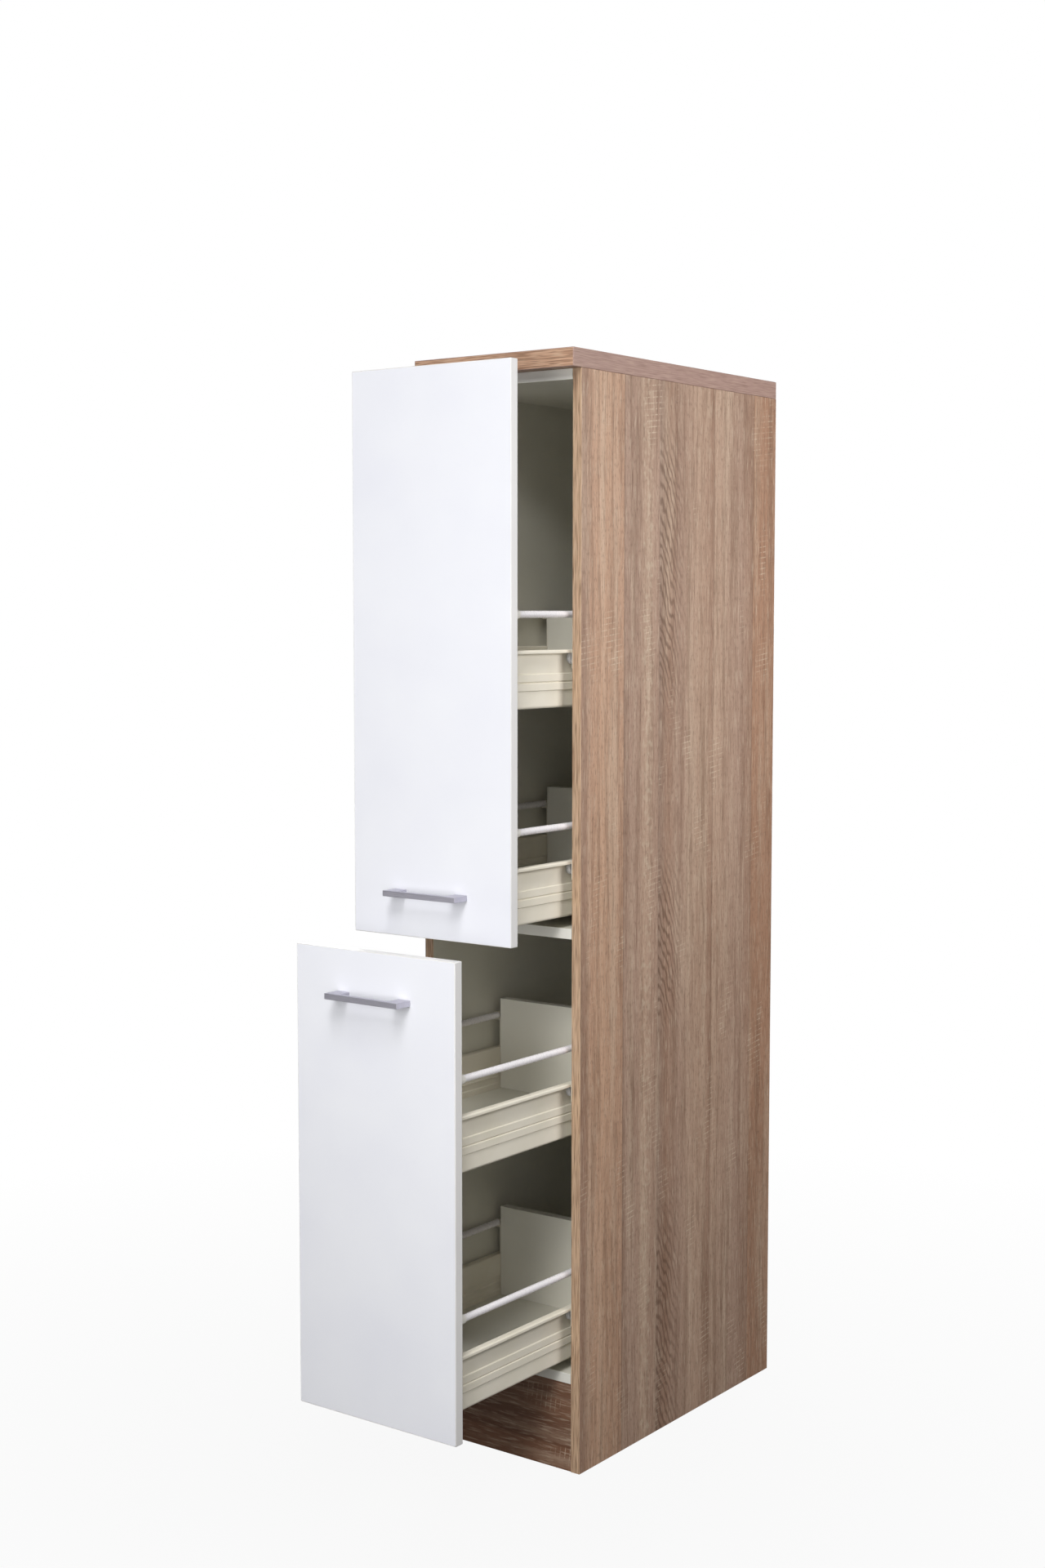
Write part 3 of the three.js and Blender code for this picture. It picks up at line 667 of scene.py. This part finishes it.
# %% [markdown]
# ## Side panels
# Each side is a 16 mm board from the floor to the top board: oak decor outside, white inside, an
# oak band in front and bare chips behind. The section, with the groove for the back, is drawn as a
# flat face and extruded up. The long edges are then broken, so the band's corner catches light.

# %% Build the side panels
GROOVE_DEPTH = 7 * MM
GROOVE_CLEARANCE = 0.3 * MM
EDGE_BREAK = 0.6 * MM


def side_panel(side_name, side):
    """A grooved side panel of the CAD node's size."""
    node = f"side_panel_{side_name}"
    low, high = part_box("side_panel_right")
    back_low, back_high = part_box("back_panel")
    groove = (back_low.y - GROOVE_CLEARANCE, back_high.y + GROOVE_CLEARANCE)
    groove_end = low.x + GROOVE_DEPTH
    section = [
        (low.x, low.y), (high.x, low.y), (high.x, high.y), (low.x, high.y),
        (low.x, groove[1]), (groove_end, groove[1]), (groove_end, groove[0]), (low.x, groove[0]),
    ]
    bm = bmesh.new()
    raised(bm, bm.faces.new([bm.verts.new((x, y, low.z)) for x, y in section]), high.z - low.z)
    upright = [
        edge for edge in bm.edges
        if edge.verts[0].co.z != edge.verts[1].co.z and edge.verts[0].co.y in (low.y, high.y)
    ]
    rounded(bm, upright, EDGE_BREAK)
    on_side(bm, side)
    bm.normal_update()
    ways = {(side, 0, 0): 0, (-side, 0, 0): 1, FRONT: 2, REAR: 3, UP: 3, DOWN: 3}
    finish_by_direction(bm.faces, ways, otherwise=2)
    finishes = [oak_upright, melamine, band_upright, chipboard]
    return finished(f"side_board_{side_name}", bm, finishes, "carcass", [node])


side_boards = [side_panel(name, side) for name, side in SIDES.items()]
print("Side panels:", in_mm(side_boards[0].dimensions), "mm")

# %% [markdown]
# ## Top board and plinth
# The top is thicker than the rest, and its bands carry the grain along each edge. The plinth's decor
# lies on its side, and its tones are darkened with painted shade.

# %% Build the top board and the plinth
TOP_ROUNDING = 1.2 * MM
PLINTH_ROUNDING = 0.4 * MM

top = board(
    "top_board_oak", "top_board", [oak_top, band_across, band_back],
    {UP: 0, DOWN: 0, FRONT: 1, REAR: 1, LEFT: 2, RIGHT: 2}, 2, TOP_ROUNDING, 3,
)
plinth = board(
    "plinth_oak", "plinth_board", [shaded_oak_lying, chipboard],
    {FRONT: 0, REAR: 0, UP: 1, DOWN: 1, LEFT: 1, RIGHT: 1}, 0, PLINTH_ROUNDING,
)
print("Top board", in_mm(top.dimensions), "plinth", in_mm(plinth.dimensions), "mm")

# %% [markdown]
# ## Inner boards
# Three white boards stiffen the carcass; only the front edge is banded. Each is drawn tight to the
# sides by cam locks, discs of 15 mm let into the underside near its corners. A lock's slot is too
# small to show as a recess, so a thin pale bar across the disc stands for it.

# %% Build the inner boards with their cam locks
INNER_BOARDS = ("top_panel", "middle_shelf", "bottom_panel")
INNER_ROUNDING = 0.35 * MM
CAM_RADIUS = 7.5 * MM
CAM_PROUD = 0.4 * MM
CAM_CHAMFER = 0.6 * MM
CAM_TO_SIDE = 24 * MM
CAM_TO_EDGE = 45 * MM
CAM_BAR = (9 * MM, 1.6 * MM)
CAM_BAR_SUNK = 0.05 * MM
CAM_BAR_PROUD = 0.15 * MM


def cam_lock(bm, centre):
    """Adds the visible disc of a cam lock under a board, with a bar across it."""
    profile = [
        (0, 0), (CAM_RADIUS, 0), (CAM_RADIUS, CAM_PROUD / 2), (CAM_RADIUS - CAM_CHAMFER, CAM_PROUD),
        (0, CAM_PROUD),
    ]
    turned(bm, profile, centre, DOWN, steps=28)
    length, width = CAM_BAR
    bar_low = centre + Vector((-length / 2, -width / 2, -CAM_PROUD - CAM_BAR_PROUD))
    bar_high = centre + Vector((length / 2, width / 2, -CAM_PROUD + CAM_BAR_SUNK))
    for face in block(bm, bar_low, bar_high):
        face.material_index = 1


for node in INNER_BOARDS:
    board(
        f"{node}_white", node, [melamine, white_band, chipboard],
        {UP: 0, DOWN: 0, FRONT: 1, REAR: 2, LEFT: 2, RIGHT: 2}, 0, INNER_ROUNDING,
    )
    low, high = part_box(node)
    bm = bmesh.new()
    for x in (low.x + CAM_TO_SIDE, high.x - CAM_TO_SIDE):
        for y in (low.y + CAM_TO_EDGE, high.y - CAM_TO_EDGE):
            cam_lock(bm, Vector((x, y, low.z)))
    made = finished(f"{node}_cam_locks", bm, [zinc, plastic], "carcass")
print("Inner boards:", len(INNER_BOARDS), "with cam locks over", in_mm(made.dimensions), "mm")

# %% [markdown]
# ## Screws
# Pan-head screws hold the back, the runners and the tray flanges. The head is a short cone. Its
# cross recess comes from the top face, inset once: the ring's corners between the arms are drawn in,
# and the cross that is left is pushed down.

# %% A screw head
HEAD_TAPER = 0.8
RECESS_INSET = 0.25
RECESS_DEPTH = 0.6
RECESS_WAIST = (0.28, 0.40)
NOTCH_HALF_ANGLE = 32


def screw_head(bm, centre, axis, radius, height):
    """Adds a pan head with a cross recess, its underside at the centre."""
    before = set(bm.faces)
    axis = Vector(axis)
    turn = Vector(UP).rotation_difference(axis).to_matrix()
    bmesh.ops.create_cone(
        bm, cap_ends=True, segments=24, radius1=radius, radius2=radius * HEAD_TAPER, depth=height,
        matrix=Matrix.Translation(Vector(centre) + axis * height / 2) @ turn.to_4x4(),
    )
    bm.normal_update()
    caps = [face for face in bm.faces if face not in before and len(face.verts) > 4]
    top = max(caps, key=lambda face: face.normal.dot(axis))
    bmesh.ops.inset_individual(bm, faces=[top], thickness=radius * RECESS_INSET)
    middle = top.calc_center_median()
    for vert in top.verts:
        spoke = vert.co - middle
        local = turn.inverted() @ spoke
        away = abs(math.degrees(math.atan2(local.y, local.x)) % 90 - 45) / NOTCH_HALF_ANGLE
        if away < 1:
            vert.co = middle + spoke * (RECESS_WAIST[0] + (RECESS_WAIST[1] - RECESS_WAIST[0]) * away)
    pushed = bmesh.ops.extrude_discrete_faces(bm, faces=[top])["faces"][0]
    bmesh.ops.translate(bm, vec=-axis * height * RECESS_DEPTH, verts=pushed.verts)


print("Screw heads: notches of", 2 * NOTCH_HALF_ANGLE, "degrees")

# %% [markdown]
# ## The back
# The back is 3 mm hardboard in the grooves of the side panels, white inside. Small screws draw it
# against the rear edges of the inner boards.

# %% Build the back
BACK_CHAMFER = 0.2 * MM
BACK_SCREW = (3.6 * MM, 1.8 * MM)
BACK_SCREW_PLACES = (-90 * MM, 0.0, 90 * MM)

board("back_hardboard", "back_panel", [melamine, hardboard], {FRONT: 0}, 1, BACK_CHAMFER, 1)
back_low, back_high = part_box("back_panel")
bm = bmesh.new()
for node in INNER_BOARDS:
    low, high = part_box(node)
    for x in BACK_SCREW_PLACES:
        screw_head(bm, (x, back_high.y, (low.z + high.z) / 2), REAR, *BACK_SCREW)
finished("back_screws", bm, [zinc], "carcass")
print("Back:", in_mm(back_high - back_low), "mm")

# %% [markdown]
# ## Fronts
# Each front is a 16 mm board, banded all round, with edges rounded like the top board's. The band
# shows as a grey line at the right.

# %% Build the fronts
FRONT_ROUNDING = 1.2 * MM
PULL_OUTS = {"upper": (1, 2), "lower": (3, 4)}

for pull_out in PULL_OUTS:
    front = board(
        f"{pull_out}_front_board", f"{pull_out}_front", [front_foil, front_band],
        {FRONT: 0, REAR: 0}, 1, FRONT_ROUNDING, 3, f"{pull_out}_pullout",
    )
    print(pull_out, "front", in_mm(front.dimensions), "mm")

# %% [markdown]
# ## Bow handles
# A handle is one die-cast piece: a flat bar between two broad legs. Its C is drawn as seen from
# above, its two inner corners are rounded while it is still flat, and it is extruded to its height.
# A last small bevel breaks every sharp edge, which gives the bright lines along the satin surfaces.

# %% Build the handles
LEG_WIDTH = 22 * MM
BAR_DEPTH = 8 * MM
HANDLE_FILLET = 7 * MM
HANDLE_EDGE = 0.7 * MM
HANDLE_SHARP = math.radians(40)

for pull_out in PULL_OUTS:
    low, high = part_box(f"{pull_out}_handle")
    bm = bmesh.new()
    section = [
        (low.x, high.y), (low.x, low.y), (high.x, low.y), (high.x, high.y),
        (high.x - LEG_WIDTH, high.y), (high.x - LEG_WIDTH, low.y + BAR_DEPTH),
        (low.x + LEG_WIDTH, low.y + BAR_DEPTH), (low.x + LEG_WIDTH, high.y),
    ]
    corners = [bm.verts.new((x, y, low.z)) for x, y in section]
    bm.faces.new(corners)
    rounded(bm, corners[5:7], HANDLE_FILLET, segments=8, affect="VERTICES")
    raised(bm, bm.faces[:][0], high.z - low.z)
    rounded(bm, [edge for edge in bm.edges if edge.calc_face_angle(0) > HANDLE_SHARP], HANDLE_EDGE)
    made = finished(
        f"{pull_out}_bow_handle", bm, [satin_nickel], f"{pull_out}_pullout",
        [f"{pull_out}_handle"],
    )
print("Handles:", in_mm(made.dimensions), "mm")

# %% [markdown]
# ## Tray sides
# A tray side is one strip of sheet steel: a foot that carries the floor, a wall with two beads
# pressed outwards, a rim turned over outwards, and a lip. The strip's section is drawn as a line and
# extruded back, its folds are rounded, and the wall is cut where the beads' slopes begin and end, so
# that its points can be moved out. Only then does the sheet get its thickness, so the inside shows
# the beads as hollows, as pressing leaves them.

# %% Sizes of a tray side
SHEET = 1.5 * MM
FOOT_WIDTH = 13 * MM
SIDE_HEIGHT = 86 * MM
RIM_WIDTH = 12.3 * MM
RIM_LIP = 5 * MM
FOLD_RADIUS = 2.2 * MM
BEAD_DROPS = (41 * MM, 54.2 * MM)
BEAD_RADIUS = 5.75 * MM
BEAD_DEPTH = 1.8 * MM
BEAD_SLOPE = 1.5 * MM
BEAD_MARGIN = 11 * MM
BEAD_LINES = (-5.75, -5.3, -4.75, -4.25, 0.0, 4.25, 4.75, 5.3, 5.75)  # mm from its middle
BEAD_END_LINES = (0.0, 0.5, 1.0, 1.5, 3.0, 4.4, 5.75)  # mm from its end
METAL_EDGE = 0.3 * MM
TOUCHING = 0.01 * MM
ON_PLANE = 0.0001 * MM


def bead_rise(point, rim, front, rear):
    """How far the beads stand out at a point of the wall, as a share of their depth."""
    highest = 0.0
    end = BEAD_MARGIN + BEAD_RADIUS
    for drop in BEAD_DROPS:
        past_end = max(front + end - point.y, point.y - rear + end, 0)
        distance = math.hypot(past_end, point.z - (rim - drop))
        share = min(max((BEAD_RADIUS - distance) / BEAD_SLOPE, 0), 1)
        highest = max(highest, share * share * (3 - 2 * share))
    return highest


def cut(bm, faces, place, normal):
    """Cuts these faces with a plane and leaves both halves."""
    parts = dict.fromkeys(item for face in faces for item in [face, *face.edges, *face.verts])
    bmesh.ops.bisect_plane(bm, geom=list(parts), plane_co=place, plane_no=normal, dist=ON_PLANE)


print("Beads:", len(BEAD_DROPS), "of", in_mm([2 * BEAD_RADIUS, BEAD_DEPTH]), "mm")


# %% The pressed strip
def pressed_strip(bm, wall, low_z, rim, front, rear):
    """Adds the folded sheet with its two beads."""
    foot = low_z + SHEET
    section = [
        (wall - FOOT_WIDTH + SHEET, foot), (wall, foot), (wall, rim),
        (wall + RIM_WIDTH, rim), (wall + RIM_WIDTH, rim - RIM_LIP),
    ]
    points = [bm.verts.new((x, front, z)) for x, z in section]
    lines = [bm.edges.new(pair) for pair in zip(points, points[1:])]
    swept = bmesh.ops.extrude_edge_only(bm, edges=lines)["geom"]
    moved = [item for item in swept if isinstance(item, bmesh.types.BMVert)]
    bmesh.ops.translate(bm, vec=(0, rear - front, 0), verts=moved)
    rounded(bm, [edge for edge in bm.edges if len(edge.link_faces) == 2], FOLD_RADIUS, segments=4)
    for line in BEAD_END_LINES:
        for y in (front + BEAD_MARGIN + line * MM, rear - BEAD_MARGIN - line * MM):
            cut(bm, bm.faces, (0, y, 0), FRONT)
    for drop in BEAD_DROPS:
        for line in BEAD_LINES:
            on_wall = [face for face in bm.faces if abs(face.calc_center_median().x - wall) < TOUCHING]
            cut(bm, on_wall, (0, 0, rim - drop + line * MM), UP)
    for vert in bm.verts:
        if abs(vert.co.x - wall) < TOUCHING:
            vert.co.x += BEAD_DEPTH * bead_rise(vert.co, rim, front, rear)
    bmesh.ops.recalc_face_normals(bm, faces=bm.faces)
    upward = sum(face.normal.z * face.calc_area() for face in bm.faces)
    if upward < 0:
        bmesh.ops.reverse_faces(bm, faces=bm.faces)
    bmesh.ops.solidify(bm, geom=bm.faces[:], thickness=SHEET)


print("Sheet and folds:", in_mm([SHEET, FOLD_RADIUS]), "mm")

# %% Build the tray sides
LUG_HEIGHT = 13 * MM
LUG_REACH = 11 * MM
LUG_GAP = 0.3 * MM
FLANGE_DROP = 30 * MM


def tray_side(tray, side_name, side, body):
    """A tray side with its front flange and the bracket that holds the rail's rear end."""
    node = f"tray_{tray}_side_{side_name}"
    low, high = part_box(f"tray_{tray}_side_right")
    wall = low.x + FOOT_WIDTH - SHEET
    rim = low.z + SIDE_HEIGHT
    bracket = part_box(f"tray_{tray}_back")[0].y + LUG_GAP
    bm = bmesh.new()
    pressed_strip(bm, wall, low.z, rim, low.y, high.y)
    flange_low = (wall + SHEET / 2, low.y, low.z + SHEET)
    flange_high = (wall + RIM_WIDTH - SHEET, low.y + SHEET, rim - FLANGE_DROP)
    block(bm, flange_low, flange_high, METAL_EDGE)
    block(bm, (wall, bracket, rim - SHEET), (wall + SHEET, high.y, high.z), METAL_EDGE)
    lug_high = (wall + LUG_REACH, bracket + SHEET, high.z)
    block(bm, (wall, bracket, high.z - LUG_HEIGHT), lug_high, METAL_EDGE)
    on_side(bm, side)
    return finished(f"{node}_sheet", bm, [cream_coat], body, [node])


TRAY_BODIES = {tray: f"{pull_out}_pullout" for pull_out, trays in PULL_OUTS.items() for tray in trays}
for tray, body in TRAY_BODIES.items():
    for side_name, side in SIDES.items():
        made = tray_side(tray, side_name, side, body)
print("Tray side:", in_mm(made.dimensions), "mm,", len(made.data.polygons), "faces")

# %% [markdown]
# ## Flange screws and axles
# Two screws through each side's front flange hold the front, and behind, a riveted axle carries the
# tray's roller. They are pieces of their own, since they are zinc-plated and not painted.

# %% Build the flange screws and the trays' axles
FLANGE_SCREW = (3.2 * MM, 1.6 * MM)
FLANGE_SCREW_DROPS = (40 * MM, 72 * MM)
FLANGE_SCREW_OUT = 4.6 * MM
AXLE_RADIUS = 2 * MM
AXLE_HEAD = (3.4 * MM, 0.6 * MM)
AXLE_GAP = 0.3 * MM


def axle_profile(length):
    """A pin with a rounded head."""
    radius, thickness = AXLE_HEAD
    return [
        (0, 0), (AXLE_RADIUS, 0), (AXLE_RADIUS, length - thickness), (radius, length - thickness),
        (radius, length - thickness / 3), (radius - thickness / 2, length), (0, length),
    ]


for tray, body in TRAY_BODIES.items():
    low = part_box(f"tray_{tray}_side_right")[0]
    wall = low.x + FOOT_WIDTH - SHEET
    rim = low.z + SIDE_HEIGHT
    roller_low, roller_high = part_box(f"tray_{tray}_rear_roller_right")
    middle = (roller_low + roller_high) / 2
    start = wall + SHEET / 2
    length = roller_high.x + AXLE_GAP + AXLE_HEAD[1] - start
    bm = bmesh.new()
    for side in SIDES.values():
        turned(bm, axle_profile(length), (side * start, middle.y, middle.z), (side, 0, 0), steps=24)
        for drop in FLANGE_SCREW_DROPS:
            place = (side * (wall + SHEET + FLANGE_SCREW_OUT), low.y + SHEET, rim - drop)
            screw_head(bm, place, REAR, *FLANGE_SCREW)
    made = finished(f"tray_{tray}_axles_and_screws", bm, [zinc], body)
print("Axles and flange screws over", in_mm(made.dimensions), "mm")

# %% [markdown]
# ## Tray floors and backs
# The floor lies on the feet of the steel sides and the back stands behind it. Only the back's upper
# edge is banded, because a hand reaches over it.

# %% Build the tray boards
TRAY_ROUNDING = 0.5 * MM
TRAY_BOARDS = {
    "bottom": (melamine, {UP: 0, DOWN: 0, LEFT: 2, RIGHT: 2, FRONT: 2, REAR: 2}),
    # The backs take the whiter copy of the melamine, which is painted light.
    "back": (lit_tray_melamine, {FRONT: 0, REAR: 0, LEFT: 2, RIGHT: 2, DOWN: 2}),
}

for tray, body in TRAY_BODIES.items():
    for part, (film, ways) in TRAY_BOARDS.items():
        node = f"tray_{tray}_{part}"
        finishes = [film, white_band, chipboard]
        made = board(f"{node}_board", node, finishes, ways, 1, TRAY_ROUNDING, body=body)
print("Tray back:", in_mm(made.dimensions), "mm")

# %% [markdown]
# ## Gallery rails
# A round rail above each tray side keeps bottles from tipping out. It runs from a plastic socket on
# the front to the bracket. Both are turned: a profile on one side of the axis is spun round it.

# %% Build the gallery rails
RAIL_RADIUS = 5.25 * MM
SOCKET_LENGTH = 30 * MM
SOCKET_LIP = 2 * MM
SOCKET_MOUTH = 3 * MM
MOUTH_GAP = 0.1 * MM
PLUG_RADIUS = 3 * MM
TUBE_CHAMFER = 0.6 * MM


def gallery_rail(tray, side_name, body):
    """A rail with its socket and its plug, along Y."""
    node = f"tray_{tray}_rail_{side_name}"
    low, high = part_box(node)
    socket = (high.z - low.z) / 2
    mouth = RAIL_RADIUS + MOUTH_GAP
    start = Vector(((low.x + high.x) / 2, low.y, (low.z + high.z) / 2))
    tube_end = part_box(f"tray_{tray}_back")[0].y - low.y
    plug_end = high.y - low.y
    rail = [
        (0, SOCKET_LENGTH / 2), (RAIL_RADIUS, SOCKET_LENGTH / 2),
        (RAIL_RADIUS, tube_end - TUBE_CHAMFER), (RAIL_RADIUS - TUBE_CHAMFER, tube_end),
        (PLUG_RADIUS, tube_end), (PLUG_RADIUS, plug_end), (0, plug_end),
    ]
    cap = [
        (0, 0), (socket, 0), (socket, SOCKET_LENGTH - SOCKET_LIP),
        (socket - SOCKET_LIP / 4, SOCKET_LENGTH - SOCKET_LIP / 2), (mouth, SOCKET_LENGTH),
        (mouth, SOCKET_LENGTH - SOCKET_MOUTH), (0, SOCKET_LENGTH - SOCKET_MOUTH),
    ]
    bm = bmesh.new()
    turned(bm, rail, start, REAR, steps=40)
    for face in turned(bm, cap, start, REAR, steps=40):
        face.material_index = 1
    finishes = [rail_coat, plastic]
    return finished(f"{node}_tube", bm, finishes, body, [node], all_round=True)


for tray, body in TRAY_BODIES.items():
    for side_name in SIDES:
        made = gallery_rail(tray, side_name, body)
print("Rails:", in_mm(made.dimensions), "mm")

# %% [markdown]
# ## Rollers
# Two rollers carry each tray side: one on the cabinet's runner, under the tray's rim, and one on the
# tray's rear end, in the runner's track. They are nylon discs with a hub, a dished face and a
# chamfered tread, and each has its own body, since it spins.

# %% Build the rollers
BORE_RADIUS = 2.3 * MM
HUB_RADIUS = 4.2 * MM
DISH_DEPTH = 0.9 * MM
DISH_DRAFT = 0.3 * MM
TREAD_RING = 2.6 * MM
TREAD_CHAMFER = 1.2 * MM


def roller(node, body):
    """A dished roller turned about the X axis, in the CAD node's box."""
    low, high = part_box(node)
    half = (high.x - low.x) / 2
    radius = (high.z - low.z) / 2
    ring = radius - TREAD_RING
    half_profile = [
        (BORE_RADIUS, -half), (HUB_RADIUS, -half), (HUB_RADIUS + DISH_DRAFT, DISH_DEPTH - half),
        (ring, DISH_DEPTH - half), (ring + DISH_DRAFT, -half), (radius - TREAD_CHAMFER, -half),
        (radius, TREAD_CHAMFER - half),
    ]
    profile = half_profile + [(r, -x) for r, x in reversed(half_profile)] + half_profile[:1]
    bm = bmesh.new()
    turned(bm, profile, (low + high) / 2, RIGHT, steps=40)
    return finished(f"{node}_wheel", bm, [nylon], body, [node], all_round=True)


for tray in TRAY_BODIES:
    for side_name in SIDES:
        front = roller(f"runner_{tray}_roller_{side_name}", f"front_roller_{tray}_{side_name}")
        rear = roller(f"tray_{tray}_rear_roller_{side_name}", f"rear_roller_{tray}_{side_name}")
print("Front rollers:", in_mm(front.dimensions), "rear rollers:", in_mm(rear.dimensions), "mm")

# %% [markdown]
# ## Cabinet runners
# A runner is a steel plate on the side panel with a track of two flanges for the tray's rear
# roller, a stop that the roller meets at full travel, and the front roller's axle. Flat screws hold
# it. It is built from blocks; a bevel gives the stop a ramp, so that a tray can be lifted in.

# %% Places of the stops
STOP_HEIGHT = 3 * MM
REAR_ROLLER_RADIUS = 8 * MM
ROLLER_OVER_TRACK = 8.3 * MM
STOP_GAP = 0.3 * MM

over_stop = ROLLER_OVER_TRACK - STOP_HEIGHT
contact = math.sqrt(REAR_ROLLER_RADIUS ** 2 - over_stop ** 2)
stop_places = {}
for joint in frame["joints"]:
    if joint["type"] == "slide":
        for tray in PULL_OUTS[joint["name"].split("_")[0]]:
            low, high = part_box(f"tray_{tray}_rear_roller_right")
            farthest = (low.y + high.y) / 2 - joint["range_m"][1]
            stop_places[tray] = farthest - contact - STOP_GAP
print("Stops at", {tray: round(place / MM) for tray, place in stop_places.items()}, "mm")

# %% The steel of a runner
RUNNER_SHEET = 1.2 * MM
RIM_OVER_RUNNER = 2 * MM
TRACK_ROOF_DROP = 7.2 * MM
TRACK_HEIGHT = 16.8 * MM
FLANGE_WIDTH = 9.5 * MM
FLANGE_SET_IN = 0.1 * MM
STOP_LENGTH = 6 * MM
STOP_NOSE = 2.6 * MM
STOP_SET_IN = 0.2 * MM


def runner_steel(low, high, track, track_start, stop):
    """The plate, the two flanges of the track and the stop, on the right side."""
    plate = high.x - RUNNER_SHEET
    flange = plate - FLANGE_WIDTH
    bm = bmesh.new()
    block(bm, (plate, low.y, low.z), high, METAL_EDGE)
    for level in (track + TRACK_HEIGHT, track - RUNNER_SHEET):
        flange_high = (high.x - FLANGE_SET_IN, high.y, level + RUNNER_SHEET)
        block(bm, (flange, track_start, level), flange_high, METAL_EDGE)
    stop_high = (high.x - STOP_SET_IN, stop, track + STOP_HEIGHT)
    faces = block(bm, (flange, stop - STOP_LENGTH, track - RUNNER_SHEET / 2), stop_high)
    nose = dict.fromkeys(
        edge for face in faces for edge in face.edges
        if all(vert.co.y < stop - STOP_LENGTH / 2 and vert.co.z > track for vert in edge.verts)
    )
    rounded(bm, list(nose), STOP_NOSE, segments=3)
    return bm


print("Track:", in_mm([TRACK_HEIGHT, FLANGE_WIDTH]), "mm")

# %% Build the runners
RUNNER_SCREW = (4.2 * MM, 0.9 * MM)
RUNNER_SCREWS = (60 * MM, 230 * MM, 400 * MM)


def runner(number, side_name, side):
    """A cabinet runner, and its axle and screws as a second piece."""
    node = f"runner_{number}_{side_name}"
    low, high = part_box(f"runner_{number}_right")
    roller_low, roller_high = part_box(f"runner_{number}_roller_right")
    middle = (roller_low + roller_high) / 2
    plate = high.x - RUNNER_SHEET
    track = high.z + RIM_OVER_RUNNER - TRACK_ROOF_DROP - TRACK_HEIGHT
    steel = runner_steel(low, high, track, roller_high.y + 2 * RUNNER_SHEET, stop_places[number])
    start = plate + RUNNER_SHEET / 2
    length = start - roller_low.x + AXLE_GAP + AXLE_HEAD[1]
    hardware = bmesh.new()
    turned(hardware, axle_profile(length), (start, middle.y, middle.z), LEFT, steps=24)
    for place in RUNNER_SCREWS:
        screw_head(hardware, (plate, low.y + place, track + TRACK_HEIGHT / 2), LEFT, *RUNNER_SCREW)
    for bm in (steel, hardware):
        on_side(bm, side)
    finished(f"{node}_steel", steel, [cream_coat], "carcass", [node])
    return finished(f"{node}_axle_and_screws", hardware, [zinc], "carcass")


for number in TRAY_BODIES:
    for side_name, side in SIDES.items():
        made = runner(number, side_name, side)
print("Runners:", 2 * len(TRAY_BODIES), "with hardware over", in_mm(made.dimensions), "mm")
